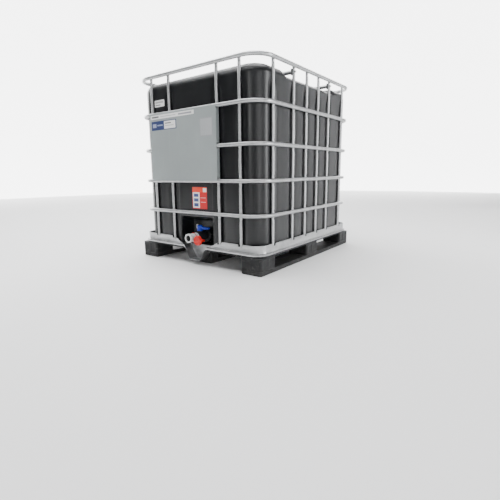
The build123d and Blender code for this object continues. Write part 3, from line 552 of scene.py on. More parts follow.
def lathe(axis_point, direction, profile, around=64, wobble=None):
    """Surface of revolution: profile rows are (distance along direction, radius).

    A point is axis_point + direction * along + radius * (cos a * u + sin a * v). `wobble(along, a)`
    adds to the radius, for knurls and threads.
    """
    direction = np.asarray(direction, float)
    helper = UP if abs(direction[2]) < 0.9 else SIDE
    u = np.cross(helper, direction)
    u /= np.linalg.norm(u)
    v = np.cross(direction, u)
    profile = np.asarray(profile, float)
    angle = np.linspace(0, 2 * np.pi, around, endpoint=False)
    along = profile[:, 0][:, None] + 0 * angle
    radius = profile[:, 1][:, None] + 0 * angle
    if wobble is not None:
        radius = radius + np.where(radius > 1e-6, wobble(along, angle[None, :]), 0.0)
    ring = np.cos(angle)[None, :, None] * u + np.sin(angle)[None, :, None] * v
    return np.asarray(axis_point, float) + along[..., None] * direction + radius[..., None] * ring


def bevelled(profile, radius, steps=4):
    """Round each inner corner of a profile polyline with a small quadratic curve."""
    profile = np.asarray(profile, float)
    out = [profile[0]]
    for before, here, after in zip(profile[:-2], profile[1:-1], profile[2:]):
        back = np.linalg.norm(here - before)
        ahead = np.linalg.norm(after - here)
        cut = min(radius, 0.45 * back, 0.45 * ahead)
        first = here + (before - here) / max(back, 1e-9) * cut
        last = here + (after - here) / max(ahead, 1e-9) * cut
        t = np.linspace(0, 1, steps + 1)[:, None]
        out.extend((1 - t) ** 2 * first + 2 * t * (1 - t) * here + t ** 2 * last)
    out.append(profile[-1])
    return np.array(out)


def stations(half, extras, spread, step):
    """Places along a straight from -half to half: even steps, with pairs of close points at each edge."""
    count = max(2, round(2 * half / step))
    base = np.linspace(-half, half, count + 1)
    close = [e + d for e in extras for d in (-spread, 0.0, spread) if abs(e + d) < half - spread]
    kept = [b for b in base[1:-1] if all(abs(b - c) > 1.2 * spread for c in close)]
    return np.array(sorted([-half, *kept, half, *close]))


def side_path(half_x, half_y, corner, along_x, along_y_front, along_y_rear, turn):
    """Rounded rectangle with chosen stations on its sides, anticlockwise from the rear left corner.

    along_x holds the y places of both long sides, and the other two hold the x places of the front and
    rear. Each corner is an arc of `turn` steps. Returns the points and their outward normals.
    """
    places = []
    normals = []
    corners = [(-1, 1), (-1, -1), (1, -1), (1, 1)]
    runs = [(-1, 0, along_x[::-1]), (0, -1, along_y_front), (1, 0, along_x), (0, 1, along_y_rear[::-1])]
    for k, (sx, sy) in enumerate(corners):
        centre = np.array([sx * (half_x - corner), sy * (half_y - corner)])
        angle = np.pi / 2 * (k + 1 + np.linspace(0, 1, turn + 1))
        arc_normals = np.stack([np.cos(angle), np.sin(angle)], -1)
        places.append(centre + corner * arc_normals)
        normals.append(arc_normals)
        nx, ny, run = runs[k]
        run = run[1:-1]
        if nx:
            places.append(np.stack([np.full(len(run), nx * half_x), run], -1))
        else:
            places.append(np.stack([run, np.full(len(run), ny * half_y)], -1))
        normals.append(np.repeat([[float(nx), float(ny)]], len(run), 0))
    return np.concatenate(places), np.concatenate(normals)


def rows_to_grid(rows):
    """One grid from rows, each of (x, y) points and their heights."""
    return np.stack([np.concatenate([flat, height[:, None]], -1) for flat, height in rows])


# ---------------------------------------------------------------- cage
SEAM_X = 0.087
SEAM_HALF = 0.0007
SEAM_DEPTH = 0.0009
DENT_OFFSET = 0.011
SPREAD = 0.14
WELD_HALF_HEIGHT = 0.0075
WELD_OUT = 0.0028
WELD_ACROSS = 0.0022


def ring_grid(z, tube):
    """Tube of radius r about a rounded rectangle: path + r (cos a N + sin a Z).

    The radius drops by SEAM_DEPTH where the tube's two ends meet at the back.
    """
    run_x = stations(RING_X - tube.corner, [], 0.001, 0.02)
    run_rear = stations(RING_X - tube.corner, [SEAM_X - 0.001, SEAM_X + 0.001], 0.0006, 0.02)
    run_y = stations(RING_Y - tube.corner, [], 0.001, 0.02)
    path, normal = side_path(RING_X, RING_Y, tube.corner, run_y, run_x, run_rear, 16)
    at_seam = (np.abs(path[:, 0] - SEAM_X) < SEAM_HALF) & (path[:, 1] > 0)
    radius = np.where(at_seam, RING_R - SEAM_DEPTH, RING_R)[:, None]
    angle = np.linspace(0, 2 * np.pi, tube.around, endpoint=False)[None, :]
    out = radius * np.cos(angle)
    x = path[:, :1] + normal[:, :1] * out
    y = path[:, 1:] + normal[:, 1:] * out
    return np.stack([x, y, z + radius * np.sin(angle)], -1)


def upright_grid(centre, outward, tube):
    """Round tube pressed flat where each ring crosses it and dented above and below the crossing.

    Across its height the outward coordinate n = r cos a is held below INSET - sqrt(R^2 - dz^2), the
    ring's own surface; the tube spreads sideways by what is pressed in. Its top is a hollow cup.
    """
    foot, top = float(UP_LOW[2]), float(UP_HIGH[2])
    levels = [np.linspace(foot + 0.004, top - 0.002, 60)]
    reach = RING_R + 0.03
    levels += [np.clip(z + np.linspace(-reach, reach, 45), foot + 0.004, top - 0.002) for z in RING_Z]
    z = np.unique(np.round(np.concatenate(levels), 4))
    angle = np.linspace(0, 2 * np.pi, tube.around, endpoint=False)
    cos, sin = np.cos(angle)[None, :], np.sin(angle)[None, :]
    n = UPRIGHT_R * cos + 0 * z[:, None]
    t = UPRIGHT_R * sin + 0 * z[:, None]
    pressed = np.zeros_like(z)
    for level in RING_Z:
        dz = z - level
        inside = np.clip((RING_R + 0.0004) ** 2 - dz ** 2, 0, None)
        limit = INSET - np.sqrt(inside)
        n = soft_min(n, limit[:, None] + 0 * n, 0.0015)
        pressed = np.maximum(pressed, UPRIGHT_R - limit)
        for side in (-1, 1):
            middle = side * (RING_R + DENT_OFFSET)
            dent = tube.dent * np.exp(-((dz - middle) / tube.dent_spread) ** 2)
            n -= dent[:, None] * smooth(cos, 0.1, 1.0)
    t = t * (1 + SPREAD * np.clip(pressed, 0, None)[:, None] / UPRIGHT_R)
    body = np.stack([n, t, z[:, None] + 0 * n], -1)

    def end(row, height, scale):
        """The tube's first or last row, scaled, at a height."""
        return np.stack([n[row] * scale, t[row] * scale, np.full(tube.around, height)], -1)

    mouth = ((0.0, 0.93), (0.0, 0.86), (0.004, 0.84), (0.02, 0.83), (0.02, 0.0))
    cap = [end(-1, top - drop, scale) for drop, scale in mouth]
    base = [end(0, foot, scale) for scale in (0.0, 0.9)]
    local = np.concatenate([base, body, cap])
    out = np.asarray(outward, float)
    across = np.array([-out[1], out[0]])
    flat = np.asarray(centre) + local[..., :1] * out + local[..., 1:2] * across
    return np.concatenate([flat, local[..., 2:]], -1)


class CONTAINER_OT_rings(bpy.types.Operator):
    """Add the cage's horizontal rings"""

    bl_idname = "container.rings"
    bl_label = "Rings"

    def execute(self, context):
        tube = context.scene.container_tubes
        for name, z in zip(RING_NAMES, RING_Z):
            add(f"{name}_tube", [ring_grid(z, tube)], ROOT, "galvanised_tube", name, wraps=(True, True))
        return {"FINISHED"}


class CONTAINER_OT_uprights(bpy.types.Operator):
    """Add the cage's uprights, pressed where the rings cross them"""

    bl_idname = "container.uprights"
    bl_label = "Uprights"

    def execute(self, context):
        tube = context.scene.container_tubes
        for side, outward in FACING.items():
            grids = [upright_grid(centre, outward, tube) for centre in UPRIGHTS[side]]
            add(f"{side}_uprights_tubes", grids, ROOT, "galvanised_tube", f"{side}_uprights")
        return {"FINISHED"}


# ---------------------------------------------------------------- tank
POCKET_HALF = 0.13
POCKET_TOP = TANK_LOW[2] + 0.17
POCKET_DEPTH = 0.105
NECK_R = 0.08
BORE_R = 0.075
TANK_WALL = 0.003


def tank_grid(shape):
    """Blown skin: a rounded rectangle swept up a profile, its walls pulled in by flutes and the pocket.

    A row is outline - N * (inset + flute + pocket) at height z. A flute is a raised cosine across the
    wall; the pocket is a product of two smooth steps. On the top the outline blends to the neck's circle,
    and inside the neck the same rows come back as the inner skin, closed at the middle of each floor.
    """
    half_x, half_y, top = (float(v) for v in TANK_HIGH)
    low = float(TANK_LOW[2])
    side_y = [c[1] for c in UPRIGHTS["right"]]
    front_x = [c[0] for c in UPRIGHTS["front"]]
    rear_x = [c[0] for c in UPRIGHTS["rear"]]
    pocket_edges = [s * (POCKET_HALF + d) for s in (-1, 1) for d in (-0.008, 0.0, 0.008)]
    run_y = stations(half_y - shape.corner, side_y, 0.012, 0.0105)
    run_front = stations(half_x - shape.corner, front_x + pocket_edges, 0.003, 0.0105)
    run_rear = stations(half_x - shape.corner, rear_x, 0.012, 0.0105)
    path, normal = side_path(half_x, half_y, shape.corner, run_y, run_front, run_rear, 22)
    flute = np.zeros(len(path))
    for centre, axis in [(c, RUNS_ALONG[side]) for side in UPRIGHTS for c in UPRIGHTS[side]]:
        u = (path[:, axis] - centre[axis]) / shape.flute_width
        here = (normal[:, 1 - axis] * np.sign(centre[1 - axis]) > 0.5) & (np.abs(u) < 1)
        flute = np.maximum(flute, np.where(here, shape.flute * np.cos(np.pi / 2 * u) ** 2, 0))
    facing = smooth(-normal[:, 1], 0.9, 1.0)
    pocket_x = facing * smooth(POCKET_HALF + 0.01 - np.abs(path[:, 0]), 0.0, 0.02)

    def sunk(y):
        """How far the top lies below its raised ends at y."""
        return shape.raised * smooth(np.abs(y), 0.345, 0.285)

    def wall(z, inset, shrink=0.0):
        """Outline and height of the wall at z, for an edge's inset and the shrink of the inner skin."""
        fade = smooth(z, top - 0.05, top - 0.14) * smooth(z, low, low + 0.03)
        pocket = POCKET_DEPTH * pocket_x * smooth(z, POCKET_TOP + 0.012, POCKET_TOP - 0.03)
        bow = 0.002 * np.sin(40 * path[:, 0]) * np.sin(3.1 * z) * facing
        bow = bow * (pocket_x < 0.01) * smooth(abs(z - 0.6), 0.5, 0.3)
        pull = inset + flute * fade + pocket + shrink + bow
        flat = path - normal * pull[:, None]
        return flat, z - sunk(flat[:, 1]) * smooth(z, top - 0.07, top - 0.01)

    deck = top - shape.raised
    r_base, r_top = shape.base, shape.shoulder
    arc = np.linspace(0, np.pi / 2, 9)
    steps = [(low + r_base * (1 - np.sin(a)), r_base * (1 - np.cos(a))) for a in arc[::-1]]
    steps += [(z, 0.0) for z in np.linspace(low + r_base, POCKET_TOP - 0.035, 12)[1:]]
    steps += [(z, 0.0) for z in np.linspace(POCKET_TOP - 0.03, POCKET_TOP + 0.014, 10)]
    steps += [(z, 0.0) for z in np.linspace(POCKET_TOP + 0.03, top - r_top, 46)]
    steps += [(top - r_top * (1 - np.sin(a)), r_top * (1 - np.cos(a))) for a in arc[1:]]
    outer = [wall(z, inset) for z, inset in steps]
    heading = np.arctan2(path[:, 1], path[:, 0])
    circle = np.stack([np.cos(heading), np.sin(heading)], -1)
    ones = np.ones(len(path))
    rows = [(path * 0, ones * low), (outer[0][0] * 0.6, ones * low), *outer]
    edge = outer[-1][0]
    for w in (*np.arange(0.08, 0.9, 0.08), 0.94):
        flat_row = edge * (1 - w) + NECK_R * circle * w
        rows.append((flat_row, top - sunk(flat_row[:, 1])))
    neck_top = float(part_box("lid_gasket")[0][2])
    for radius, z in ((NECK_R + 0.004, deck), (NECK_R, deck + 0.004), (NECK_R, neck_top - 0.001),
                      (NECK_R - 0.001, neck_top), (BORE_R + 0.001, neck_top), (BORE_R, neck_top - 0.001),
                      (BORE_R, deck - TANK_WALL)):
        rows.append((radius * circle, ones * z))
    inner_top = wall(top - TANK_WALL, r_top, TANK_WALL)[0]
    for w in (0.2, 0.4, 0.6, 0.8, 1.0):
        flat_row = BORE_R * circle * (1 - w) + inner_top * w
        rows.append((flat_row, top - TANK_WALL - sunk(flat_row[:, 1])))
    inner = [wall(z - TANK_WALL, inset, TANK_WALL) for z, inset in steps[::-1][2::2]]
    inside = ones * (low + TANK_WALL)
    rows += [*inner, (inner[-1][0] * 0.6, inside), (path * 0, inside)]
    return rows_to_grid(rows)


def neck_grid():
    """Short outlet neck that the valve screws on, a ring turned about the outlet's axis."""
    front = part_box("outlet_gasket")[1][1]
    bore, outside, length = 0.026, 0.036, 0.03
    profile = [
        (0, bore), (0, outside - 0.002), (-0.002, outside), (-length, outside), (-length, bore), (0, bore),
    ]
    return lathe((0, front, SPOUT_AXIS), OUTWARD, profile)


class CONTAINER_OT_tank(bpy.types.Operator):
    """Add the blown tank with its flutes, valve pocket and necks"""

    bl_idname = "container.tank"
    bl_label = "Tank"

    def execute(self, context):
        skin = tank_grid(context.scene.container_tank)
        add("tank_skin", [skin], ROOT, "black_blown_plastic", "tank", crease=50)
        add("outlet_neck", [neck_grid()], ROOT, "black_blown_plastic", wraps=(True, True))
        return {"FINISHED"}


# ---------------------------------------------------------------- pan
SHEET = 0.0012
WALL_TOP = float(PAN_HIGH[2])
TROUGH_LOW = float(PAN_LOW[2])
TROUGH_HALF = (0.098, 0.038)
TROUGH_BACK = 0.063
WALL_FALL = 0.21
NOTCH = (0.015, 0.014)
SKIRT = 0.0105
# The wall's section as (inset, height above the floor): up outside, over the rolled hem, down inside.
PAN_WALL = (
    (0.0095, 0.0), (0.0112, 0.0008), (0.012, 0.003), (0.012, 0.022), (0.0122, 0.038), (0.0118, 0.0395),
    (0.0105, 0.0405), (0.0102, 0.0422), (0.011, 0.044), (0.0125, 0.045), (0.014, 0.0443),
    (0.0148, 0.0425), (0.0138, 0.04), (0.0134, 0.022), (0.0136, 0.002), (0.0155, 0.0),
)


def pan_grid(corner):
    """Pressed sheet swept round the pallet: underside, turned-down skirt, lip, hemmed wall and floor.

    A row is outline - N * inset at height z. The front sinks by a smooth trapezium for the trough, and
    its wall falls to the floor on both sides of it. Notches cut the wall at each upright.
    """
    half_x, half_y = float(PAN_HIGH[0]), float(PAN_HIGH[1])
    edges = {}
    for side, axis in RUNS_ALONG.items():
        edges[side] = [c[axis] + d for c in UPRIGHTS[side] for d in (-NOTCH[0], NOTCH[0])]
    run_y = stations(half_y - corner, edges["right"], 0.0012, 0.02)
    fine = list(np.linspace(-0.105, 0.105, 43))
    run_front = stations(half_x - corner, edges["front"] + fine, 0.0008, 0.02)
    run_rear = stations(half_x - corner, edges["rear"], 0.0012, 0.02)
    path, normal = side_path(half_x, half_y, corner, run_y, run_front, run_rear, 20)
    front = normal[:, 1] < -0.99
    x = np.abs(path[:, 0])
    slope = np.clip((TROUGH_HALF[0] - x) / (TROUGH_HALF[0] - TROUGH_HALF[1]), 0, 1)
    depth = DECK_TOP - TROUGH_LOW - SHEET
    sink = np.where(front, depth * (0.35 * slope + 0.65 * smooth(slope, 0.0, 1.0)), 0.0)
    rise = np.where(front, smooth(x, TROUGH_HALF[0], WALL_FALL), 1.0)
    notch = np.zeros(len(path))
    for side, axis in RUNS_ALONG.items():
        for centre in UPRIGHTS[side]:
            here = normal[:, 1 - axis] * np.sign(centre[1 - axis]) > 0.99
            notch = np.where(here & (np.abs(path[:, axis] - centre[axis]) < NOTCH[0]), NOTCH[1], notch)
    floor = DECK_TOP + SHEET
    ones = np.ones(len(path))

    def row(inset, z):
        """The outline moved in by inset, at height z."""
        return path - normal * inset, z

    skirt = np.clip(1 - sink / 0.03, 0.12, 1)
    rows = [(path * 0, ones * DECK_TOP), row(TROUGH_BACK + SHEET, ones * DECK_TOP),
            row(TROUGH_BACK + SHEET, DECK_TOP - sink), row(0.002, DECK_TOP - sink),
            row(0.0013, DECK_TOP - sink - SKIRT * skirt)]
    for inset, drop in ((0.0004, SKIRT + 0.0003), (0.0, SKIRT - 0.001), (0.0, SKIRT - 0.0025),
                        (0.0011, SKIRT - 0.0035), (0.0011, 0.0025), (0.0015, 0.0008), (0.003, 0.0)):
        rows.append(row(inset, DECK_TOP + SHEET * (drop == 0) - sink - drop * skirt))
    for inset, up in PAN_WALL:
        height = np.minimum(up, WALL_TOP - floor - notch)
        rows.append(row(inset, floor - sink + height * rise))
    bend = ((-0.004, 1.0), (-0.001, 0.97), (0.0, 0.9), (0.0, 0.05), (0.003, 0.0))
    rows.append(row(0.03, floor - sink))
    rows += [row(TROUGH_BACK + behind, floor - sink * share) for behind, share in bend]
    rows.append((path * 0, ones * floor))
    return rows_to_grid(rows)


def weld_grid(centre, outward, z, flank):
    """Small flattened bead beside a crossing of an upright and a ring."""
    out = np.array([*outward, 0.0])
    across = np.array([-out[1], out[0], 0.0])
    middle = np.array([*centre, z]) + out * (INSET - RING_R + 0.0035)
    middle = middle + across * flank * (UPRIGHT_R + 0.0004)
    u = np.linspace(-np.pi / 2, np.pi / 2, 7)[:, None, None]
    v = np.linspace(0, 2 * np.pi, 12, endpoint=False)[None, :, None]
    wave = 1 + 0.12 * np.sin(3 * v + 5 * z + centre[0] * 40)
    thick = out * WELD_OUT * np.cos(v) + across * WELD_ACROSS * np.sin(v)
    return middle + UP * WELD_HALF_HEIGHT * np.sin(u) + thick * np.cos(u) * wave


class CONTAINER_OT_pan(bpy.types.Operator):
    """Add the pressed pan with its skirt, hemmed wall and trough"""

    bl_idname = "container.pan"
    bl_label = "Pan"

    def execute(self, context):
        grid = pan_grid(context.scene.container_pan.corner)
        add("pan_sheet", [grid], ROOT, "galvanised_sheet", "pan", crease=30)
        return {"FINISHED"}


class CONTAINER_OT_welds(bpy.types.Operator):
    """Add the weld beads where the uprights meet the rings"""

    bl_idname = "container.welds"
    bl_label = "Welds"

    def execute(self, context):
        grids = []
        for side, outward in FACING.items():
            beads = product(UPRIGHTS[side], RING_Z, (-1, 1))
            grids += [weld_grid(centre, outward, z, flank) for centre, z, flank in beads]
        add("weld_beads", grids, ROOT, "galvanised_tube")
        return {"FINISHED"}


# ---------------------------------------------------------------- pallet
FOOT_HALF = (0.07, 0.075)
FOOT_CORNER = 0.014
FOOT_EDGE = 0.0025
FOOT_PANEL = 0.0028
FRONT_FOOT_BACK = 0.45


def foot_grid(centre, half, low, high):
    """Hollow foot: a rounded box with a softened edge and a shallow panel pressed into each side."""
    runs = [stations(h - FOOT_CORNER, [], 0.001, 0.008) for h in half]
    path, normal = side_path(half[0], half[1], FOOT_CORNER, runs[1], runs[0], runs[0], 6)
    across = np.where(np.abs(normal[:, 0]) > 0.99, path[:, 1] / half[1], path[:, 0] / half[0])
    flat = np.maximum(np.abs(normal[:, 0]), np.abs(normal[:, 1])) > 0.99
    panel = np.where(flat, smooth(np.abs(across), 0.74, 0.66), 0.0)
    rib = np.where(flat, smooth(np.abs(across), 0.09, 0.05), 0.0)
    rows = [(path * 0, np.full(len(path), low)), (path - normal * 0.004, np.full(len(path), low))]
    for t in (0.0, 0.03, 0.1, 0.15, 0.19, 0.4, 0.6, 0.81, 0.85, 0.9, 0.97, 1.0):
        z = low + (high - low) * t
        deep = FOOT_PANEL * panel * (1 - rib) * smooth(t, 0.12, 0.18) * smooth(t, 0.88, 0.82)
        edge = FOOT_EDGE * (t in (0.0, 1.0))
        rows.append((path - normal * (deep + edge)[:, None], np.full(len(path), z)))
    rows.append((path * 0, np.full(len(path), high)))
    return rows_to_grid([(flat + np.asarray(centre), height) for flat, height in rows])


class CONTAINER_OT_pallet(bpy.types.Operator):
    """Add the pallet's moulded feet"""

    bl_idname = "container.pallet"
    bl_label = "Pallet feet"

    def execute(self, context):
        low, high = (float(corner[2]) for corner in node_box("pallet_feet"))
        half_x, full_y = FOOT_HALF
        grids = []
        for x, y in node_islands("pallet_feet"):
            front_centre = abs(x) < 0.1 and y < -0.1
            half_y = min(full_y, abs(abs(y) - FRONT_FOOT_BACK)) if front_centre else full_y
            grids.append(foot_grid((x, y), (half_x, half_y), low, high))
        add("foot_blocks", grids, ROOT, "black_moulded_plastic", "pallet_feet", crease=40)
        return {"FINISHED"}


# ---------------------------------------------------------------- outlet valve
SPOUT_BORE = 0.018


def thread(turns, depth, start, length):
    """Radius change of a helical thread: depth * sin(a - turns * 2 pi * t), faded at both ends."""
    def wobble(along, angle):
        t = (along - start) / length
        fade = np.clip(np.minimum(t, 1 - t) * 8, 0, 1)
        return depth * (np.clip(1.6 * np.sin(angle - 2 * np.pi * turns * t), -1, 1) - 1) * fade
    return wobble


def knurl(count, depth, start, end):
    """Radius change of grips: depth * (|cos(count a / 2)| - 1) between two places along the axis."""
    def wobble(along, angle):
        inside = (along > start) & (along < end)
        return np.where(inside, depth * (np.abs(np.cos(count * angle / 2)) ** 0.6 - 1), 0.0)
    return wobble


def arm_grid(root_half, tip_half, root_thick, tip_thick):
    """Lever arm: a rounded section whose sides are hollowed between two flanges, tapering to its tip."""
    reach = float(LEVER_HIGH[0])
    top = float(LEVER_HIGH[2]) - 0.005
    rows = []
    turn = np.linspace(0, 2 * np.pi, 40, endpoint=False)
    shape_y = np.sign(np.cos(turn)) * np.abs(np.cos(turn)) ** 0.45
    shape_z = np.sign(np.sin(turn)) * np.abs(np.sin(turn)) ** 0.45
    rounding = 1 - np.array([0.075, 0.05, 0.03, 0.012, 0.003, 0.0])
    for t in np.concatenate([[0.0], np.linspace(0.12, 0.9, 22), rounding]):
        end = np.sqrt(np.clip(1 - np.clip((t - 0.91) / 0.09, 0, 1) ** 2, 0, 1))
        half = (root_half + (tip_half - root_half) * t) * end
        thick = (root_thick + (tip_thick - root_thick) * t) * (0.35 + 0.65 * end)
        crown = top - 0.007 * t - thick / 2
        web = 0.3 * smooth(abs(t - 0.52), 0.4, 0.3) * (np.abs(shape_z) < 0.62)
        y = SPINDLE_Y + half * shape_y * (1 - web)
        rows.append(np.stack([reach * t + 0 * turn, y, crown + thick / 2 * shape_z], -1))
    tip = np.broadcast_to(rows[-1].mean(0), rows[-1].shape)
    root = np.broadcast_to(rows[0].mean(0), rows[0].shape)
    return np.stack([root, *rows, tip])


def spout_grid():
    """Threaded spout with a plain collar at its mouth, outside and bore."""
    back = -float(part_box("valve_body")[0][1])
    mouth = -float(SPOUT_LOW[1])
    r = float(SPOUT_HIGH[0])
    collar, neck, bore = mouth - 0.013, r - 0.002, SPOUT_BORE
    outline = [
        (back + 0.0005, bore), (back + 0.0005, neck), (collar - 0.004, neck), (collar, r), (mouth, r),
        (mouth, bore + 0.0025), (mouth - 0.004, bore), (back, bore),
    ]
    steps = bevelled(outline, 0.0016)
    fine = [np.linspace(a, b, 8)[:-1] for a, b in zip(steps[:-1], steps[1:])]
    fine = np.concatenate([*fine, steps[-1:]])
    return lathe((0, 0, SPOUT_AXIS), OUTWARD, fine, 72, thread(4, 0.0005, back, mouth - back - 0.016))


def nut_grid():
    """Union nut with deep grips round its outside."""
    low, high = node_box("flange_nut")
    back, face, r = -float(high[1]), -float(low[1]), float(high[0])
    thread_r, bore = 0.037, 0.031
    outline = [
        (back, thread_r), (back, r - 0.003), (back + 0.003, r), (face - 0.004, r),
        (face, r - 0.006), (face, bore), (back + 0.002, bore), (back, thread_r),
    ]
    grips = knurl(32, 0.0022, back + 0.0005, face - 0.002)
    return lathe((0, 0, SPOUT_AXIS), OUTWARD, bevelled(outline, 0.0012), 192, grips)


def cap_grid():
    """Dust cap with fine grips and a ring pressed into its face."""
    low, high = node_box("dust_cap")
    centre = ((low[0] + high[0]) / 2, 0, (low[2] + high[2]) / 2)
    back, face, r = -float(high[1]), -float(low[1]), float(high[0] - low[0]) / 2
    outline = [
        (back, r - 0.0018), (back, r), (back + 0.003, r), (face - 0.003, r - 0.0006),
        (face - 0.0004, r - 0.0035), (face, r - 0.006), (face, 0.019), (face - 0.0012, 0.0165),
        (face - 0.0012, 0.006), (face, 0.004), (face, 0.0), (face - 0.003, 0.0),
        (face - 0.003, r - 0.0018), (back, r - 0.0018),
    ]
    grips = knurl(40, 0.0011, back + 0.0025, face - 0.0015)
    return lathe(centre, OUTWARD, bevelled(outline, 0.0008), 200, grips)


def hub_grid():
    """Hub of the lever, ribbed outside, with a sunk cap over the spindle."""
    r, bottom, top = -float(LEVER_LOW[0]), float(LEVER_LOW[2]), float(LEVER_HIGH[2])
    outline = [
        (bottom, 0.0052), (bottom, r - 0.001), (bottom + 0.001, r), (top - 0.004, r - 0.0004),
        (top - 0.001, r - 0.0025), (top, r - 0.005), (top, 0.009), (top - 0.002, 0.007), (top - 0.002, 0),
    ]
    ribs = knurl(24, 0.0007, bottom + 0.002, top - 0.006)
    return lathe((0, SPINDLE_Y, 0), UP, bevelled(outline, 0.001), 120, ribs)


class CONTAINER_OT_valve(bpy.types.Operator):
    """Add the spout, union nut, lever and dust cap"""

    bl_idname = "container.valve"
    bl_label = "Outlet valve"

    def execute(self, context):
        lever = [arm_grid(0.0125, 0.0075, 0.026, 0.009), hub_grid()]
        add("spout_tube", [spout_grid()], ROOT, "pale_grey_plastic", "spout")
        add("union_nut", [nut_grid()], ROOT, "black_moulded_plastic", "flange_nut")
        add("cap_shell", [cap_grid()], "dust_cap", "red_plastic", "dust_cap")
        add("lever_arm", lever, "lever", "blue_plastic", "lever", crease=40)
        return {"FINISHED"}


# ---------------------------------------------------------------- lid
def lid_grid():
    """Screw lid: gripped skirt, a raised ring on its top and the hole for the vent plug."""
    low, high = node_box("filler_lid")
    bottom, top, r = float(low[2]), float(high[2]), float(high[0])
    hole = float(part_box("vent_gasket")[1][0]) - 0.002
    outline = [
        (bottom, r - 0.005), (bottom, r), (bottom + 0.004, r), (top - 0.006, r - 0.001),
        (top - 0.002, r - 0.004), (top - 0.002, r - 0.02), (top, r - 0.022), (top, r - 0.034),
        (top - 0.002, r - 0.036), (top - 0.002, hole), (top - 0.009, hole), (top - 0.009, r - 0.005),
        (bottom, r - 0.005),
    ]
    grips = knurl(48, 0.002, bottom + 0.003, top - 0.005)
    return lathe((0, 0, 0), UP, bevelled(outline, 0.0015), 288, grips)


class CONTAINER_OT_lid(bpy.types.Operator):
    """Add the filler lid"""

    bl_idname = "container.lid"
    bl_label = "Filler lid"

    def execute(self, context):
        add("lid_shell", [lid_grid()], "filler_lid", "black_blown_plastic", "filler_lid")
        return {"FINISHED"}


# ---------------------------------------------------------------- stage
# name, (x, y) of the middle, width, height of the top and strength of each panel beside the container.
SIDE_PANELS = (
    ("key_panel", (3.35, -1.95), 1.3, 2.7, 1.2),
    ("near_panel", (3.55, 0.95), 1.3, 2.7, 9.0),
    ("far_panel", (2.35, 3.75), 1.5, 2.9, 0.6),
)
# name, place, width, height, watts and colour of each lamp, all aimed at the middle of the container.
LAMPS = (
    ("front", (1.2, -4.6, 1.6), 0.8, 1.6, 32.0, (1.0, 1.0, 1.0)),
    ("fill", (-4.2, 0.6, 2.6), 1.2, 1.2, 25.0, (0.96, 0.98, 1.0)),
)
LOOKED_AT = Vector((0.0, 0.0, 0.5))
BACKDROP_R = 8.5
CEILING = 3.3
FLOOR_HALF = 14


def glow(name, strength, scale=0.5, tint=(0.97, 0.98, 1.0)):
    """A glowing surface whose colour drifts slightly."""
    shader = Shader(name, Emission_Strength=strength, Roughness=1.0)
    colour = shader.mix(shader.noise(scale, 2.0), tint, (1, 1, 1))
    shader.tree.links.new(colour.socket, shader.bsdf.inputs["Emission Color"])
    return shader.material


def stage_sheet(name, points, material):
    """Add one open sheet of the stage."""
    sheet = mesh_object(name, [points], material, wraps=(False, False))
    return sheet


def add_sheets():
    """Add the floor, the curved backdrop behind the container and the glowing panels round it."""
    concrete = Shader("pale_floor", Roughness=0.75)
    concrete.finish(concrete.mix(concrete.noise(0.8, 3.0), (0.86, 0.86, 0.86), (0.9, 0.9, 0.9)))
    x, y = np.meshgrid(*[np.linspace(-FLOOR_HALF, FLOOR_HALF, 15)] * 2)
    floor = stage_sheet("floor", np.stack([x, y, 0 * x - 0.0005], -1), concrete.material)
    if floor.data.polygons[0].normal.z < 0:
        floor.data.flip_normals()
    turn, rise = np.meshgrid(np.linspace(radians(80), radians(200), 27), np.linspace(-0.2, 7.0, 9))
    wall = np.stack([BACKDROP_R * np.cos(turn), BACKDROP_R * np.sin(turn), rise], -1)
    stage_sheet("backdrop", wall, glow("backdrop_glow", 5.0, 0.3, (0.98, 0.98, 0.98)))
    for name, at, width, top, strength in SIDE_PANELS:
        sideways = np.array([-at[1], at[0]]) / np.hypot(*at) * width / 2
        across, high = np.meshgrid(np.linspace(-1, 1, 5), [0.1, top])
        sheet = np.stack([at[0] + sideways[0] * across, at[1] + sideways[1] * across, high], -1)
        stage_sheet(name, sheet, glow(name, strength))
    x, y = np.meshgrid(np.linspace(-2.6, 1.4, 5), np.linspace(-2.4, 1.2, 5))
    stage_sheet("top_panel", np.stack([x, y, CEILING + 0 * x], -1), glow("top_panel", 4.4))


def add_lights(scene):
    """Add a dim sky and the lamps."""
    scene.world = bpy.data.worlds.new("studio")
    scene.world.use_nodes = True
    sky = scene.world.node_tree.nodes["Background"]
    sky.inputs[0].default_value = (0.95, 0.97, 1.0, 1.0)
    sky.inputs[1].default_value = 0.1
    for name, place, width, height, watts, colour in LAMPS:
        data = bpy.data.lights.new(name, "AREA")
        data.shape = "RECTANGLE"
        data.size = width
        data.size_y = height
        data.energy = watts
        data.color = colour
        lamp = bpy.data.objects.new(name, data)
        lamp.location = place
        lamp.rotation_euler = (LOOKED_AT - lamp.location).to_track_quat("-Z", "Y").to_euler()
        scene.collection.objects.link(lamp)


def add_camera(scene):
    """Add the camera: a place, then heading, tilt and roll."""
    settings = scene.container_stage
    camera = bpy.data.objects.new("camera", bpy.data.cameras.new("camera"))
    camera.data.lens = settings.lens
    camera.data.sensor_width = 36.0
    camera.data.shift_x, camera.data.shift_y = settings.shift
    aim = Matrix.Rotation(settings.turn, 4, "Z")
    aim = aim @ Matrix.Rotation(radians(90) - settings.tilt, 4, "X")
    aim = aim @ Matrix.Rotation(settings.roll, 4, "Z")
    camera.matrix_world = Matrix.Translation(Vector(settings.camera_at)) @ aim
    scene.collection.objects.link(camera)
    scene.camera = camera


class CONTAINER_OT_stage(bpy.types.Operator):
    """Add the floor, the lights and the camera"""

    bl_idname = "container.stage"
    bl_label = "Stage"

    def execute(self, context):
        add_sheets()
        add_lights(context.scene)
        add_camera(context.scene)
        return {"FINISHED"}


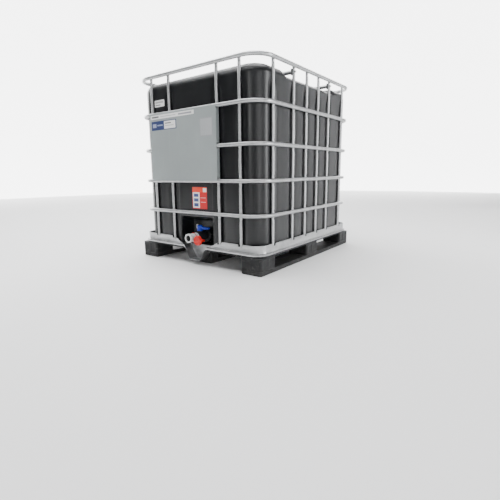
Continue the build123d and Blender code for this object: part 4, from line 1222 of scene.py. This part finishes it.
WHITE = (0.78, 0.78, 0.77)
DARK = (0.12, 0.12, 0.12)
GREY = (0.4, 0.4, 0.4)
NAVY = (0.05, 0.07, 0.2)
# The ground of each label, then its panels: left, bottom, right and top as parts of the label, and colour.
LABELS = {
    "plate_strip_label": (WHITE, [
        (0.03, 0.3, 0.2, 0.7, DARK), (0.24, 0.42, 0.6, 0.58, GREY),
        (0.66, 0.3, 0.95, 0.7, (0.3, 0.3, 0.32)),
    ]),
    "plate_blue_label": ((0.02, 0.035, 0.12), [
        (0.05, 0.3, 0.2, 0.72, (0.3, 0.34, 0.5)), (0.24, 0.45, 0.46, 0.6, (0.25, 0.3, 0.45)),
        (0.52, 0.08, 0.97, 0.92, WHITE), (0.56, 0.62, 0.8, 0.74, DARK), (0.56, 0.38, 0.9, 0.46, GREY),
    ]),
    "plate_pale_label": ((0.3, 0.31, 0.32), [(0.06, 0.06, 0.94, 0.94, (0.36, 0.37, 0.38))]),
    "tank_batch_label": (WHITE, [
        (0.08, 0.55, 0.9, 0.8, (0.35, 0.35, 0.35)), (0.08, 0.2, 0.6, 0.35, DARK),
    ]),
    "tank_warning_label": ((0.6, 0.008, 0.012), [
        (0.0, 0.76, 1.0, 1.0, (0.8, 0.05, 0.02)), (0.03, 0.04, 0.5, 0.76, WHITE),
        (0.74, 0.78, 0.97, 0.96, WHITE), (0.1, 0.55, 0.42, 0.7, NAVY), (0.1, 0.33, 0.42, 0.48, NAVY),
        (0.1, 0.1, 0.42, 0.26, NAVY), (0.56, 0.3, 0.92, 0.33, (0.75, 0.3, 0.3)),
        (0.56, 0.5, 0.92, 0.53, (0.75, 0.3, 0.3)),
    ]),
}


class CONTAINER_OT_finishes(bpy.types.Operator):
    """Make the finishes and put them on the frame's own nodes"""

    bl_idname = "container.finishes"
    bl_label = "Finishes"

    def execute(self, context):
        tints = context.scene.container_finishes
        made = {
            "galvanised_tube": zinc_finish("galvanised_tube", tuple(tints.zinc), 90.0),
            "galvanised_sheet": zinc_finish("galvanised_sheet", tuple(tints.zinc), 45.0, (0.3, 0.3, 1)),
            "zinc_plated_steel": steel_finish("zinc_plated_steel", (0.6, 0.6, 0.57), 0.35),
            "stainless_steel": steel_finish("stainless_steel", (0.62, 0.62, 0.62), 0.3),
            "black_blown_plastic": blown_finish("black_blown_plastic", tuple(tints.black)),
            "black_moulded_plastic": pallet_finish("black_moulded_plastic", tuple(tints.pallet)),
            "red_plastic": moulded_finish("red_plastic", tuple(tints.red), (0.7, 0.3, 0.25)),
            "blue_plastic": moulded_finish("blue_plastic", tuple(tints.blue), (0.35, 0.45, 0.7)),
            "pale_grey_plastic": spout_finish("pale_grey_plastic", tuple(tints.grey), SPOUT_BORE),
            "white_plastic": moulded_finish("white_plastic", WHITE, WHITE),
            "seal_rubber": rubber_finish("seal_rubber"),
            "grey_painted_plate": painted_finish("grey_painted_plate", tuple(tints.plate)),
        }
        slots = {row["node"]: row["material_slot"] for row in frame["record"]["subparts"]}
        for name, node in NODES.items():
            finish = label_finish(name, *LABELS[name]) if name in LABELS else made[slots[name]]
            node.data.materials.clear()
            node.data.materials.append(finish)
        return {"FINISHED"}


OPERATORS = (
    CONTAINER_OT_finishes,
    CONTAINER_OT_rings,
    CONTAINER_OT_uprights,
    CONTAINER_OT_tank,
    CONTAINER_OT_pan,
    CONTAINER_OT_welds,
    CONTAINER_OT_pallet,
    CONTAINER_OT_valve,
    CONTAINER_OT_lid,
    CONTAINER_OT_stage,
)


class CONTAINER_PT_pieces(bpy.types.Panel):
    """Lists the container's pieces"""

    bl_label = "Container"
    bl_idname = "CONTAINER_PT_pieces"
    bl_space_type = "VIEW_3D"
    bl_region_type = "UI"
    bl_category = "Container"

    def draw(self, context):
        for operator in OPERATORS:
            self.layout.operator(operator.bl_idname)


CLASSES = (*SETTINGS.values(), *OPERATORS, CONTAINER_PT_pieces)


def register():
    for added in CLASSES:
        bpy.utils.register_class(added)
    for name, group in SETTINGS.items():
        setattr(bpy.types.Scene, name, PointerProperty(type=group))


def unregister():
    for name in SETTINGS:
        delattr(bpy.types.Scene, name)
    for added in reversed(CLASSES):
        bpy.utils.unregister_class(added)


def main():
    """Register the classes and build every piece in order."""
    register()
    for operator in OPERATORS:
        group, name = operator.bl_idname.split(".")
        getattr(getattr(bpy.ops, group), name)()


if __name__ == "__main__":
    main()
